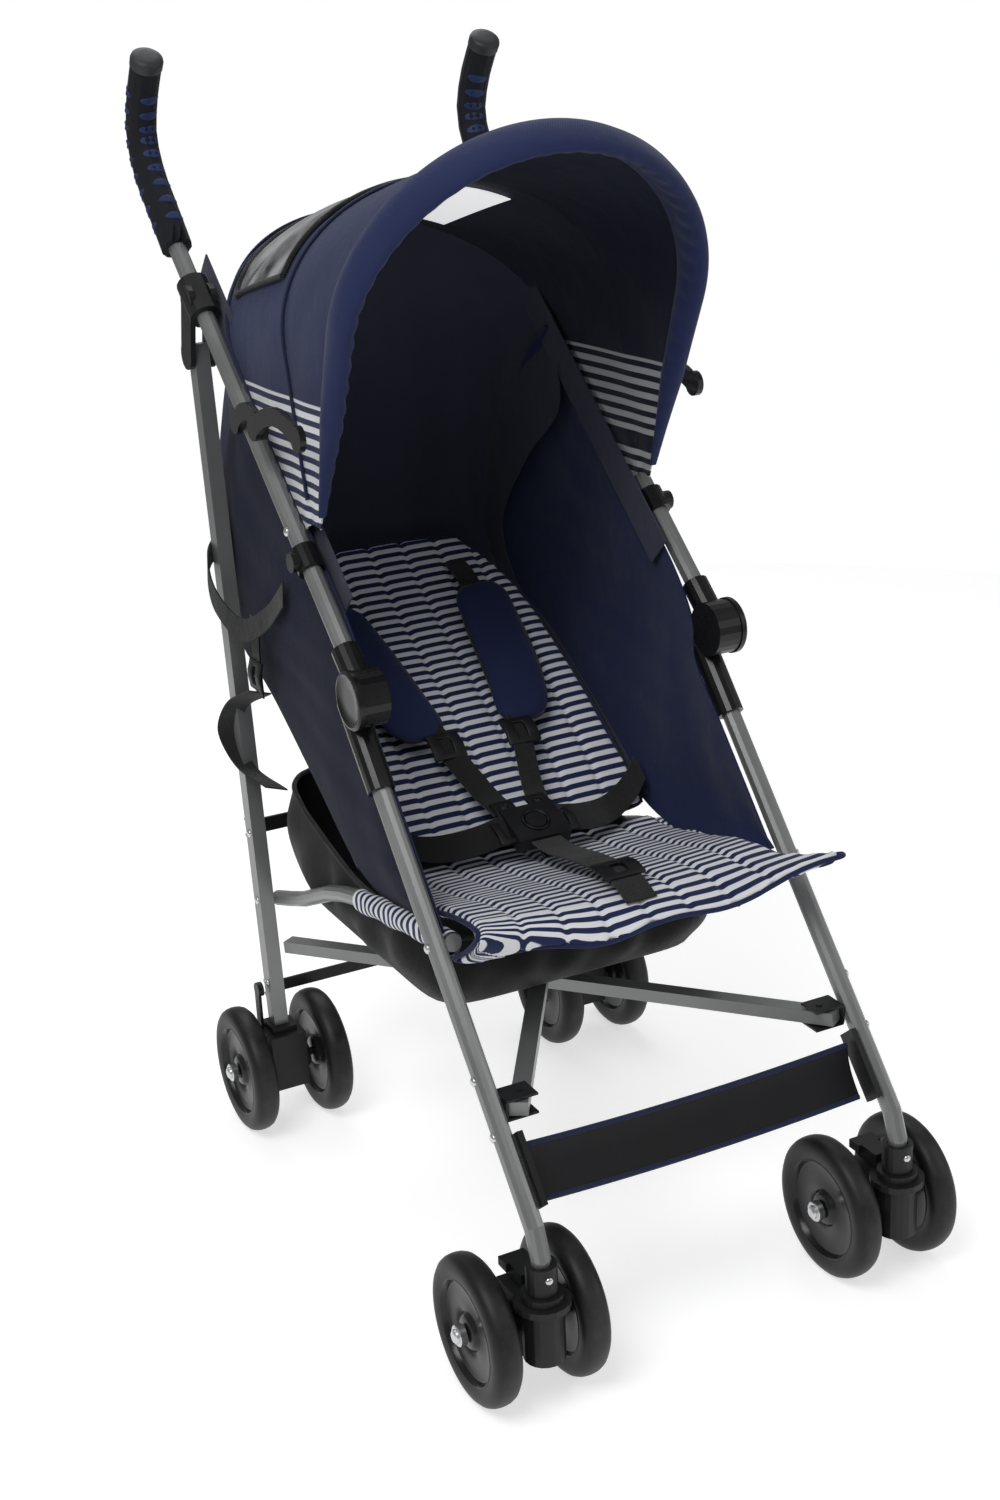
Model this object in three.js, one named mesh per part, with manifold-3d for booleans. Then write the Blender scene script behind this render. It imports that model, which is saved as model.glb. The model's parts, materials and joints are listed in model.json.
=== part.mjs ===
// Umbrella baby stroller: two folding side frames, eight wheels, a sling seat, a canopy and a basket.
// Millimetres, +Z up, the child faces -Y, origin under the middle of the stroller on the floor.

import * as THREE from "three";
import { mergeGeometries, mergeVertices } from "three/addons/utils/BufferGeometryUtils.js";
import Module from "manifold-3d";

const wasm = await Module();
wasm.setup();

// ---- driving dimensions ----
const FRAME_HALF_WIDTH = 178; // middle of the stroller to the plane of a side frame
const TUBE_RADIUS = 8.5;
const SEAT_TUBE_RADIUS = 8;
const GRIP_RADIUS = 15;
const REAR_LEG_WIDTH = 15;
const REAR_LEG_DEPTH = 18;
const FIT_GAP = 0.3; // between pieces that touch

const WHEEL_RADIUS = 65;
const TYRE_WIDTH = 26;
const WHEEL_SPREAD = 41; // leg plane to the middle of each wheel of a pair
const WHEEL_SIDES = 28;
const AXLE_RADIUS = 4;
const SWIVEL_Y = -364;
const CASTER_TRAIL = 41;
const REAR_WHEEL_Y = 203;
const CASTER_TOP = 112;

const ARM_WIDTH = 16;
const ARM_HEIGHT = 12;
const ARM_INSET = 28; // leg plane to the pivot of a cross arm
const ARM_FRONT_Y = -285;
const ARM_REAR_Y = 198;

const BRAKE_BAR_Z = 137;
const UPPER_BAR_Z = 312;
const BAR_THICKNESS = 3;
const BAR_CLEARANCE = 4; // rear leg to the cross bars, room for their ends to turn
const BAR_TAIL = 4; // past the pivot pin
const BAR_OVERLAP = 14; // past the middle of the stroller
const BAR_TONGUE = 64;
const PEDAL_GAP = 1.2;

const CANOPY_HALF_WIDTH = 165;
const CANOPY_REACH = 382; // pivot to the top of the canopy
const CANOPY_SIDE = 222; // pivot to where the side starts to round over
const CANOPY_CLOTH = 3;
const CANOPY_FRONT_ANGLE = -21.5;
const CANOPY_JOIN_ANGLE = 12;
const CANOPY_REAR_ANGLE = 47;

const SEAT_HALF_WIDTH = 150;
const SEAT_THICKNESS = 14;
const SIDE_PANEL_INSET = 17;
const SIDE_PANEL_CLOTH = 3;
const BASKET_HALF_WIDTH = 147;
const BASKET_CLOTH = 3;
const BASKET_FLOOR = 240;

// Side view places, each [y, z].
const HUB = [-83, 540];
const GRIP_BASE = [300, 886];
const LEG_TOP = [-57.8, 518];
const LEG_BEND = [-344.5, 178];
const REAR_LEG_TOP = [266, 800];
const REAR_LEG_FOOT = [207, 72];
const GRIP_BEND = [[331, 919], [361, 952], [373.7, 987], [361, 1022], [336, 1056]];
const SEAT_TUBE_BEND = [[224, 236], [150, 262], [70, 298], [0, 318], [-60, 328], [-195, 350]];
const CANOPY_PIVOT_Z = 638;
const STAY_Z = 745;
const STAY_LINK = 62;
const STAY_WIDTH = 5.7;
const STAY_GAP = 0.4; // between the two links of a stay
const STAY_STANDOFF = 0.7; // push tube to the rear link

// ---- colours ----
const silver = { color: 0x8d9092, metalness: 0.6, roughness: 0.45 };
const black = { color: 0x17181a, metalness: 0, roughness: 0.45 };
const rubber = { color: 0x1c1c1d, metalness: 0, roughness: 0.8 };
const foam = { color: 0x141519, metalness: 0, roughness: 0.9 };
const navy = { color: 0x1f2a55, metalness: 0, roughness: 0.85 };
const striped = { color: 0x8f95ad, metalness: 0, roughness: 0.85 };
const darkCloth = { color: 0x111217, metalness: 0, roughness: 0.9 };
const steel = { color: 0x9a9c9e, metalness: 0.9, roughness: 0.35 };

// ---- geometry helpers ----
const toSolid = (geometry) => {
  const bare = geometry.clone();
  bare.deleteAttribute("normal");
  bare.deleteAttribute("uv");
  const merged = mergeVertices(bare, 1e-4);
  return new wasm.Manifold(new wasm.Mesh({
    numProp: 3,
    vertProperties: new Float32Array(merged.attributes.position.array),
    triVerts: new Uint32Array(merged.index.array),
  }));
};

const toGeometry = (solid) => {
  const mesh = solid.getMesh();
  const geometry = new THREE.BufferGeometry();
  geometry.setAttribute("position", new THREE.BufferAttribute(mesh.vertProperties, 3));
  geometry.setIndex(new THREE.BufferAttribute(mesh.triVerts, 1));
  geometry.computeVertexNormals();
  return geometry;
};

const join = (...parts) => toGeometry(parts.map(toSolid).reduce((whole, part) => whole.add(part)));
const cut = (body, ...tools) =>
  toGeometry(tools.map(toSolid).reduce((rest, tool) => rest.subtract(tool), toSolid(body)));

// A piece of the right-hand side turned into its left-hand twin.
const mirrored = (geometry) => {
  const bare = geometry.clone();
  bare.deleteAttribute("normal");
  bare.deleteAttribute("uv");
  const twin = mergeVertices(bare, 1e-4);
  twin.applyMatrix4(new THREE.Matrix4().makeScale(-1, 1, 1));
  const index = twin.index.array;
  for (let i = 0; i < index.length; i += 3) {
    [index[i + 1], index[i + 2]] = [index[i + 2], index[i + 1]];
  }
  twin.computeVertexNormals();
  return twin;
};

const at = (x, [y, z]) => new THREE.Vector3(x, y, z);

// A box given by its low and high corners.
const block = (low, high) => {
  const size = high.map((value, i) => value - low[i]);
  const middle = high.map((value, i) => (value + low[i]) / 2);
  return new THREE.BoxGeometry(...size).translate(...middle);
};

// A round bar between two points.
const rod = (from, to, radius, sides = 16) => {
  const axis = new THREE.Vector3().subVectors(to, from);
  const turn = new THREE.Quaternion().setFromUnitVectors(new THREE.Vector3(0, 1, 0), axis.clone().normalize());
  const middle = new THREE.Vector3().addVectors(from, to).multiplyScalar(0.5);
  return new THREE.CylinderGeometry(radius, radius, axis.length(), sides).applyQuaternion(turn).translate(...middle);
};

// A square bar between two points that lie in one upright plane: width across the plane, height in it.
const squareBar = (from, to, width, height) => {
  const along = new THREE.Vector3().subVectors(to, from);
  const across = new THREE.Vector3().crossVectors(along, new THREE.Vector3(0, 0, 1)).normalize();
  const up = new THREE.Vector3().crossVectors(across, along).normalize();
  const turn = new THREE.Matrix4().makeBasis(across, along.clone().normalize(), up);
  const middle = new THREE.Vector3().addVectors(from, to).multiplyScalar(0.5);
  return new THREE.BoxGeometry(width, along.length(), height).applyMatrix4(turn).translate(...middle);
};

const disc = (radius) => new THREE.Shape().absarc(0, 0, radius, 0, 2 * Math.PI, false);

// A round tube along a curve.
const tube = (curve, radius, steps) =>
  new THREE.ExtrudeGeometry(disc(radius), { extrudePath: curve, steps, curveSegments: 6 });

// A side-view outline in [y, z], spread from x = low to x = high.
const sideSlab = (outline, low, high) => {
  const shape = new THREE.Shape(outline.map(([y, z]) => new THREE.Vector2(y, z)));
  const slab = new THREE.ExtrudeGeometry(shape, { depth: high - low, bevelEnabled: false });
  return slab.applyMatrix4(new THREE.Matrix4().set(0, 0, 1, low, 1, 0, 0, 0, 0, 1, 0, 0, 0, 0, 0, 1));
};

// The outline of a line of points that has been given a thickness below it.
const thickened = (line, thickness) => {
  const below = line.map(([y, z], i) => {
    const [y0, z0] = line[Math.max(i - 1, 0)];
    const [y1, z1] = line[Math.min(i + 1, line.length - 1)];
    const length = Math.hypot(y1 - y0, z1 - z0);
    return [y + ((z1 - z0) / length) * thickness, z - ((y1 - y0) / length) * thickness];
  });
  return [...below, ...line.slice().reverse()];
};

const onLine = ([y0, z0], [y1, z1], z) => [y0 + ((z - z0) * (y1 - y0)) / (z1 - z0), z];
const pushTubeAt = (z) => onLine(HUB, GRIP_BASE, z);
const frontLegAt = (z) => onLine(LEG_TOP, LEG_BEND, z);
const rearLegAt = (z) => onLine(REAR_LEG_FOOT, REAR_LEG_TOP, z);

// ---- side frame, drawn for the right-hand side ----
const SIDE = FRAME_HALF_WIDTH;
const legInner = SIDE - TUBE_RADIUS;

const frontLegPath = () => {
  const path = new THREE.CurvePath();
  const upright = [SWIVEL_Y, 138];
  path.add(new THREE.LineCurve3(at(SIDE, LEG_TOP), at(SIDE, LEG_BEND)));
  path.add(new THREE.QuadraticBezierCurve3(at(SIDE, LEG_BEND), at(SIDE, [SWIVEL_Y, 158]), at(SIDE, upright)));
  path.add(new THREE.LineCurve3(at(SIDE, upright), at(SIDE, [SWIVEL_Y, CASTER_TOP + 4])));
  return path;
};
const frontLeg = () => tube(frontLegPath(), TUBE_RADIUS, 20);

const gripCurve = () =>
  new THREE.CatmullRomCurve3([GRIP_BASE, ...GRIP_BEND].map((place) => at(SIDE, place)));
const gripCore = (radius) => {
  const reach = [GRIP_BASE, ...GRIP_BEND.slice(0, -1)];
  return tube(new THREE.CatmullRomCurve3(reach.map((place) => at(SIDE, place))), radius, 9);
};
const pushTubeStraight = (radius) => rod(at(SIDE, HUB), at(SIDE, GRIP_BASE), radius, 12);
const pushTube = () => join(pushTubeStraight(TUBE_RADIUS), gripCore(TUBE_RADIUS));
const grip = () => {
  const mouth = rod(at(SIDE, pushTubeAt(GRIP_BASE[1] - 20)), at(SIDE, GRIP_BASE), TUBE_RADIUS + FIT_GAP, 12);
  return cut(tube(gripCurve(), GRIP_RADIUS, 11), gripCore(TUBE_RADIUS + FIT_GAP), mouth);
};

const hub = () => {
  const [y, z] = HUB;
  const knuckle = rod(new THREE.Vector3(SIDE - 13, y, z), new THREE.Vector3(SIDE + 14, y, z), 25, 24);
  const upperSleeve = rod(at(SIDE, HUB), at(SIDE, pushTubeAt(z + 34)), 12.5);
  const lowerSleeve = rod(at(SIDE, frontLegAt(LEG_TOP[1] + 10)), at(SIDE, frontLegAt(462)), 12.5);
  const face = rod(new THREE.Vector3(SIDE + 12.7, y, z), new THREE.Vector3(SIDE + 17, y, z), 18, 24);
  const tubeBore = rod(at(SIDE, HUB), at(SIDE, pushTubeAt(z + 60)), TUBE_RADIUS + FIT_GAP, 12);
  const legBore = rod(
    at(SIDE, frontLegAt(LEG_TOP[1] + FIT_GAP)), at(SIDE, frontLegAt(440)), TUBE_RADIUS + FIT_GAP + 0.3, 12,
  );
  const tubeEnd = rod(at(SIDE, pushTubeAt(z - 1)), at(SIDE, pushTubeAt(z + 10)), TUBE_RADIUS + FIT_GAP, 12);
  return cut(join(knuckle, upperSleeve, lowerSleeve), face, tubeBore, tubeEnd, legBore);
};

const rearLegBar = (margin) =>
  squareBar(
    at(SIDE, REAR_LEG_FOOT), at(SIDE, REAR_LEG_TOP), REAR_LEG_WIDTH + margin, REAR_LEG_DEPTH + margin,
  );

const upperBracket = () => {
  const [tubeY, tubeZ] = pushTubeAt(842);
  const [legY, legZ] = rearLegAt(790);
  const collar = rod(at(SIDE, pushTubeAt(tubeZ - 14)), at(SIDE, pushTubeAt(tubeZ + 14)), 15);
  const cheek = (x) => join(
    rod(new THREE.Vector3(x - 2.5, tubeY, tubeZ), new THREE.Vector3(x + 2.5, tubeY, tubeZ), 15),
    rod(new THREE.Vector3(x - 2.5, legY, legZ), new THREE.Vector3(x + 2.5, legY, legZ), 14),
    squareBar(new THREE.Vector3(x, legY, legZ), new THREE.Vector3(x, tubeY, tubeZ), 5, 26),
  );
  const reach = REAR_LEG_WIDTH / 2 + 3;
  const body = join(collar, cheek(SIDE - reach), cheek(SIDE + reach));
  const bore = rod(at(SIDE, pushTubeAt(tubeZ - 60)), at(SIDE, pushTubeAt(tubeZ + 60)), TUBE_RADIUS + FIT_GAP, 12);
  return cut(body, bore, rearLegBar(2 * FIT_GAP));
};

const seatTube = () => {
  const x = legInner - FIT_GAP - SEAT_TUBE_RADIUS - 0.5;
  return tube(new THREE.CatmullRomCurve3(SEAT_TUBE_BEND.map((place) => at(x, place))), SEAT_TUBE_RADIUS, 11);
};

const canopyClamp = () => {
  const middle = pushTubeAt(CANOPY_PIVOT_Z);
  const ring = rod(at(SIDE, pushTubeAt(CANOPY_PIVOT_Z - 8)), at(SIDE, pushTubeAt(CANOPY_PIVOT_Z + 8)), 12.5);
  const boss = rod(at(SIDE + 8, middle), at(SIDE + 17, middle), 9);
  const bore = rod(
    at(SIDE, pushTubeAt(CANOPY_PIVOT_Z - 40)), at(SIDE, pushTubeAt(CANOPY_PIVOT_Z + 40)),
    TUBE_RADIUS + FIT_GAP, 12,
  );
  return cut(join(ring, boss), bore);
};

// Canopy stay: a rear link on the push tube and a front link to the canopy bow, straight when open.
const stayStart = pushTubeAt(STAY_Z);
const bowAt = (reach) => {
  const lean = THREE.MathUtils.degToRad(CANOPY_FRONT_ANGLE);
  const [y, z] = pushTubeAt(CANOPY_PIVOT_Z);
  return [y + reach * Math.sin(lean), z + reach * Math.cos(lean)];
};
const stayEnd = bowAt(126);
const stayElbow = (() => {
  const share = STAY_LINK / Math.hypot(stayEnd[0] - stayStart[0], stayEnd[1] - stayStart[1]);
  return [
    stayStart[0] + share * (stayEnd[0] - stayStart[0]),
    stayStart[1] + share * (stayEnd[1] - stayStart[1]),
  ];
})();

// An arched flat link between two pins.
const archedLink = (from, to, rise, low, high) => {
  const crown = [(from[0] + to[0]) / 2, Math.max(from[1], to[1]) + 2 * rise];
  const arch = new THREE.QuadraticBezierCurve(
    new THREE.Vector2(...from), new THREE.Vector2(...crown), new THREE.Vector2(...to),
  );
  const line = arch.getPoints(8).map((point) => [point.x, point.y + 8]);
  const eye = (place) => rod(at(low, place), at(high, place), 11.5);
  return join(sideSlab(thickened(line, -16), low, high), eye(from), eye(to));
};
const stayFace = SIDE + TUBE_RADIUS + STAY_STANDOFF;
const stayRear = () => archedLink(stayStart, stayElbow, 11, stayFace, stayFace + STAY_WIDTH);
const stayFront = () => {
  const low = stayFace + STAY_WIDTH + STAY_GAP;
  return archedLink(stayElbow, stayEnd, 13, low, low + STAY_WIDTH);
};

// ---- front caster ----
const casterCollar = () => {
  const sleeve = rod(at(SIDE, [SWIVEL_Y, CASTER_TOP + FIT_GAP]), at(SIDE, [SWIVEL_Y, CASTER_TOP + 26]), 13.5, 20);
  const bore = rod(at(SIDE, [SWIVEL_Y, CASTER_TOP + 3.7]), at(SIDE, [SWIVEL_Y, CASTER_TOP + 40]), TUBE_RADIUS + 0.6);
  const kingpin = rod(at(SIDE, [SWIVEL_Y, CASTER_TOP - 34]), at(SIDE, [SWIVEL_Y, CASTER_TOP + 2]), 5);
  return join(cut(sleeve, bore), kingpin);
};

const axle = (y) =>
  join(
    rod(at(SIDE - WHEEL_SPREAD - 15, [y, WHEEL_RADIUS]), at(SIDE + WHEEL_SPREAD + 15, [y, WHEEL_RADIUS]), AXLE_RADIUS, 12),
    rod(at(SIDE - WHEEL_SPREAD - 18, [y, WHEEL_RADIUS]), at(SIDE - WHEEL_SPREAD - 14, [y, WHEEL_RADIUS]), 7, 12),
    rod(at(SIDE + WHEEL_SPREAD + 14, [y, WHEEL_RADIUS]), at(SIDE + WHEEL_SPREAD + 18, [y, WHEEL_RADIUS]), 7, 12),
  );

const casterFork = () => {
  const axleY = SWIVEL_Y + CASTER_TRAIL;
  const barrel = rod(at(SIDE, [SWIVEL_Y, 50]), at(SIDE, [SWIVEL_Y, CASTER_TOP]), 18, 20);
  const lip = rod(at(SIDE, [SWIVEL_Y, CASTER_TOP - 13]), at(SIDE, [SWIVEL_Y, CASTER_TOP - 7]), 24, 20);
  const web = block([SIDE - 15, SWIVEL_Y, 48], [SIDE + 15, axleY + 12, CASTER_TOP - 12]);
  const boss = rod(at(SIDE - 25, [axleY, WHEEL_RADIUS]), at(SIDE + 25, [axleY, WHEEL_RADIUS]), 14, 20);
  const pinBore = rod(at(SIDE, [SWIVEL_Y, CASTER_TOP - 35]), at(SIDE, [SWIVEL_Y, CASTER_TOP + 5]), 5.4);
  return cut(join(barrel, lip, web, boss, axle(axleY)), pinBore);
};

const swivelLock = () => {
  const low = [SIDE - 9, SWIVEL_Y + 19, CASTER_TOP - 6.6];
  const high = [SIDE + 9, SWIVEL_Y + 48, CASTER_TOP + 6];
  const thumbStep = block([SIDE - 12, SWIVEL_Y + 40, CASTER_TOP - 2], [SIDE + 12, SWIVEL_Y + 54, CASTER_TOP + 6]);
  return join(block(low, high), thumbStep);
};

// ---- rear wheel housing and brake ----
const rearHousing = () => {
  const box = block([SIDE - 19, REAR_WHEEL_Y - 20, 40], [SIDE + 19, REAR_WHEEL_Y + 24, 100]);
  const socket = block([SIDE - 13, REAR_WHEEL_Y - 11, 98], [SIDE + 13, REAR_WHEEL_Y + 19, 106]);
  const boss = rod(at(SIDE - 25, [REAR_WHEEL_Y, WHEEL_RADIUS]), at(SIDE + 25, [REAR_WHEEL_Y, WHEEL_RADIUS]), 14, 20);
  const linkSlot = block([SIDE + 14, REAR_WHEEL_Y + 9, 82], [SIDE + 20, REAR_WHEEL_Y + 25, 101]);
  const footRoom = block([SIDE - 8, REAR_WHEEL_Y - 6, 71], [SIDE + 8, REAR_WHEEL_Y + 14, 75]);
  return join(cut(join(box, socket, boss), rearLegBar(2 * FIT_GAP), footRoom, linkSlot), axle(REAR_WHEEL_Y));
};

const brakeLink = () => {
  const strip = block([SIDE + 15, REAR_WHEEL_Y + 10.5, 92], [SIDE + 18, REAR_WHEEL_Y + 22, 142]);
  const head = rod(at(SIDE + 12, [REAR_WHEEL_Y + 16, 142]), at(SIDE + 18, [REAR_WHEEL_Y + 16, 142]), 7.5, 14);
  return join(strip, head);
};

// Flat cross bars behind the rear legs, one half from each side. The inner ends are lapped tongues: the left
// half keeps only its lower part there and the right half only its upper part, so the two pass as they fold.
const barFront = (z) => rearLegAt(z)[0] + REAR_LEG_DEPTH / 2 + BAR_CLEARANCE;
const crossBarHalf = (z, height, name) => {
  const y = barFront(z);
  const back = y + BAR_THICKNESS;
  const strip = block([-BAR_OVERLAP, y, z - height / 2], [SIDE + BAR_TAIL, back, z + height / 2]);
  const tongueRoot = BAR_TONGUE - BAR_OVERLAP;
  const low = name === "left" ? z - FIT_GAP : z - height;
  const high = name === "left" ? z + height : z + FIT_GAP;
  return cut(strip, block([-BAR_OVERLAP - 5, y - 5, low], [tongueRoot, back + 5, high]));
};

// ---- wheels ----
const wheelOutline = () => {
  const half = TYRE_WIDTH / 2;
  const bore = AXLE_RADIUS + FIT_GAP;
  const side = [[bore, 10], [18, 5.5], [43, 5.5], [47, half - 0.5], [58, half - 1.5], [WHEEL_RADIUS, 4]];
  const far = side.slice().reverse().map(([r, x]) => [r, -x]);
  const outline = [...side, ...far, side[0]];
  return outline.reverse().map(([r, x]) => new THREE.Vector2(r, x));
};
const wheel = () => new THREE.LatheGeometry(wheelOutline(), WHEEL_SIDES);

// ---- cross arms under the seat ----
const armPivotX = SIDE - ARM_INSET;
const armRearZ = { left: 216, right: 190 };
const armFrontZ = { left: 240, right: 236 };

// The arm of one side, from its own front bracket to the inside of the far rear leg.
const crossArm = (name) => {
  const near = new THREE.Vector3(armPivotX, ARM_FRONT_Y, armFrontZ[name]);
  const far = new THREE.Vector3(-armPivotX - 4, ARM_REAR_Y, armRearZ[name]);
  const along = new THREE.Vector3().subVectors(far, near).normalize();
  const tip = near.clone().addScaledVector(along, -16);
  const end = far.clone().addScaledVector(along, 12);
  const bore = rod(near.clone().setZ(near.z - 20), near.clone().setZ(near.z + 20), 3.5, 10);
  return cut(squareBar(tip, end, ARM_WIDTH, ARM_HEIGHT), bore);
};

const armBracket = (name) => {
  const z = armFrontZ[name];
  const plate = (level) => block([armPivotX - 11, ARM_FRONT_Y - 12, level], [legInner - 1, ARM_FRONT_Y + 12, level + 2]);
  const reach = ARM_HEIGHT / 2 + 1.6;
  const back = block([legInner - 2.6, ARM_FRONT_Y - 12, z - reach], [legInner - FIT_GAP, ARM_FRONT_Y + 12, z + reach]);
  const pin = rod(
    new THREE.Vector3(armPivotX, ARM_FRONT_Y, z - reach - 3),
    new THREE.Vector3(armPivotX, ARM_FRONT_Y, z + reach + 3), 3, 10,
  );
  return join(plate(z + reach), plate(z - reach - 2), back, pin);
};

const footBracket = () => {
  const low = frontLegAt(176);
  const high = frontLegAt(224);
  const x = legInner - FIT_GAP - 3;
  return squareBar(at(x, low), at(x, high), 5.4, 20);
};

// ---- cloth parts ----
const seatLine = [[-262, 350], [-240, 366], [-180, 358], [-110, 343], [-40, 327], [-6, 326]];
const backLine = [[4, 336], [60, 392], [120, 440], [200, 486], [258, 524], [284, 560]];
const upperBackLine = [[287, 568], [298, 640], [308, 740], [318, 868]];

const seatPad = () => sideSlab(thickened(seatLine, SEAT_THICKNESS), -SEAT_HALF_WIDTH, SEAT_HALF_WIDTH);
const backrest = () => sideSlab(thickened(backLine, SEAT_THICKNESS), -SEAT_HALF_WIDTH, SEAT_HALF_WIDTH);
const backPanel = () => sideSlab(thickened(upperBackLine, 5), -SEAT_HALF_WIDTH + 6, SEAT_HALF_WIDTH - 6);

const sidePanel = () => {
  const outline = [
    pushTubeAt(752), pushTubeAt(600), HUB, frontLegAt(480), frontLegAt(368), [-60, 347], [0, 340],
    [110, 437], [206, 490], [276, 545], [296, 640], [290, 752],
  ];
  const x = SIDE - SIDE_PANEL_INSET;
  return sideSlab(outline.reverse(), x - SIDE_PANEL_CLOTH, x);
};

// Points of the canopy's arch, as [x, reach from the pivot line].
const canopyArch = (inset) => {
  const half = CANOPY_HALF_WIDTH - inset;
  const points = [[half, 24]];
  const steps = 14;
  for (let i = 0; i <= steps; i += 1) {
    const turn = (Math.PI * i) / steps;
    const height = (CANOPY_REACH - CANOPY_SIDE - inset) * Math.sin(turn);
    points.push([half * Math.cos(turn), CANOPY_SIDE + height]);
  }
  points.push([-half, 24]);
  return points;
};

// The cloth is stretched straight from the front arch to the rear one, so it reaches least half-way.
const canopyMiddle = (CANOPY_FRONT_ANGLE + CANOPY_REAR_ANGLE) / 2;
const canopyStretch = (angle) => {
  const half = THREE.MathUtils.degToRad((CANOPY_REAR_ANGLE - CANOPY_FRONT_ANGLE) / 2);
  return Math.cos(half) / Math.cos(THREE.MathUtils.degToRad(angle - canopyMiddle));
};
const canopySection = (angle, inset) => {
  const [pivotY, pivotZ] = pushTubeAt(CANOPY_PIVOT_Z);
  const lean = THREE.MathUtils.degToRad(angle);
  return canopyArch(inset).map(([x, reach]) => {
    const taut = reach * canopyStretch(angle);
    return new THREE.Vector3(x, pivotY + taut * Math.sin(lean), pivotZ + taut * Math.cos(lean));
  });
};

// A band of cloth between two angles, closed round its edges.
const canopyShell = (from, to) => {
  const rails = [
    canopySection(from, 0), canopySection(to, 0), canopySection(to, CANOPY_CLOTH), canopySection(from, CANOPY_CLOTH),
  ];
  const count = rails[0].length;
  const places = rails.flat().flatMap((point) => [point.x, point.y, point.z]);
  const faces = [];
  for (let rail = 0; rail < 4; rail += 1) {
    const next = (rail + 1) % 4;
    for (let i = 0; i + 1 < count; i += 1) {
      const corners = [rail * count + i, next * count + i, next * count + i + 1, rail * count + i + 1];
      faces.push(corners[0], corners[1], corners[2], corners[0], corners[2], corners[3]);
    }
  }
  const end = count - 1;
  faces.push(0, 2 * count, count, 0, 3 * count, 2 * count);
  faces.push(end, count + end, 2 * count + end, end, 2 * count + end, 3 * count + end);
  const geometry = new THREE.BufferGeometry();
  geometry.setAttribute("position", new THREE.Float32BufferAttribute(places, 3));
  geometry.setIndex(faces);
  geometry.computeVertexNormals();
  return geometry;
};

const basket = () => {
  const under = (z) => z - SEAT_THICKNESS;
  const rim = under(324);
  const rearTop = [232, under(380)];
  const outer = [[-122, BASKET_FLOOR], [222, BASKET_FLOOR], rearTop, [150, under(348)], [60, rim], [-124, rim]];
  const inner = [
    [-122 + BASKET_CLOTH, BASKET_FLOOR + BASKET_CLOTH], [222 - BASKET_CLOTH, BASKET_FLOOR + BASKET_CLOTH],
    [rearTop[0] - BASKET_CLOTH, 400], [-124 + BASKET_CLOTH, 400],
  ];
  const inside = BASKET_HALF_WIDTH - BASKET_CLOTH;
  return cut(sideSlab(outer, -BASKET_HALF_WIDTH, BASKET_HALF_WIDTH), sideSlab(inner, -inside, inside));
};

const footrest = () => {
  const band = [[-329, 176], [-312, 214]];
  return sideSlab(thickened(band, 3), -(legInner - 7.2), legInner - 7.2);
};

// ---- small fittings in the middle ----
const BUCKLE = [-40, 362];
const BUCKLE_THICKNESS = 15;
const buckle = () => {
  const body = block([-27, -22, 0], [27, 22, BUCKLE_THICKNESS]);
  const well = rod(new THREE.Vector3(0, 0, BUCKLE_THICKNESS - 6), new THREE.Vector3(0, 0, BUCKLE_THICKNESS + 2), 10.4, 20);
  return cut(body, well);
};
const buckleButton = () =>
  rod(new THREE.Vector3(0, 0, BUCKLE_THICKNESS - 2.5), new THREE.Vector3(0, 0, BUCKLE_THICKNESS + 1.5), 10, 20);

// The pedal hangs on the left half of the low bar and stays under the right half's tongue.
const brakePedal = () => {
  const y = barFront(BRAKE_BAR_Z) + BAR_THICKNESS + PEDAL_GAP;
  const neck = block([-12, y, BRAKE_BAR_Z - 7], [12, y + 10, BRAKE_BAR_Z - 1]);
  const tread = block([-26, y + 8, BRAKE_BAR_Z - 7], [26, y + 38, BRAKE_BAR_Z - 1]);
  return join(neck, tread);
};

// ---- scene ----
const stroller = new THREE.Group();

const piece = (parent, name, geometry, look) => {
  const mesh = new THREE.Mesh(geometry, new THREE.MeshStandardMaterial(look));
  mesh.name = name;
  parent.add(mesh);
  return mesh;
};

const wheelPair = (parent, name, sign, y) => {
  for (const [place, spread] of [["outer", WHEEL_SPREAD], ["inner", -WHEEL_SPREAD]]) {
    const mesh = piece(parent, `${name}_${place}`, wheel(), rubber);
    mesh.position.set(sign * (SIDE + spread), y, WHEEL_RADIUS);
    mesh.rotation.set(0, 0, Math.PI / 2);
  }
};

const sidePieces = (name) => [
  ["front_leg", frontLeg(), silver],
  ["push_tube", pushTube(), silver],
  ["hub", hub(), black],
  ["grip", grip(), foam],
  ["upper_bracket", upperBracket(), black],
  ["rear_leg", rearLegBar(0), silver],
  ["seat_tube", seatTube(), silver],
  ["canopy_clamp", canopyClamp(), black],
  ["stay_rear", stayRear(), black],
  ["stay_front", stayFront(), black],
  ["caster_collar", casterCollar(), black],
  ["caster_fork", casterFork(), black],
  ["swivel_lock", swivelLock(), black],
  ["rear_housing", rearHousing(), black],
  ["brake_link", brakeLink(), black],
  ["brake_bar", crossBarHalf(BRAKE_BAR_Z, 12, name), black],
  ["rear_bar", crossBarHalf(UPPER_BAR_Z, 15, name), black],
  ["arm_bracket", armBracket(name), steel],
  ["cross_arm", crossArm(name), silver],
  ["foot_bracket", footBracket(), black],
  ["side_panel", sidePanel(), navy],
];

for (const [name, sign] of [["left", -1], ["right", 1]]) {
  const frame = new THREE.Group();
  for (const [part, geometry, look] of sidePieces(name)) {
    piece(frame, `${part}_${name}`, sign < 0 ? mirrored(geometry) : geometry, look);
  }
  wheelPair(frame, `front_wheel_${name}`, sign, SWIVEL_Y + CASTER_TRAIL);
  wheelPair(frame, `rear_wheel_${name}`, sign, REAR_WHEEL_Y);
  stroller.add(frame);
}

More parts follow.
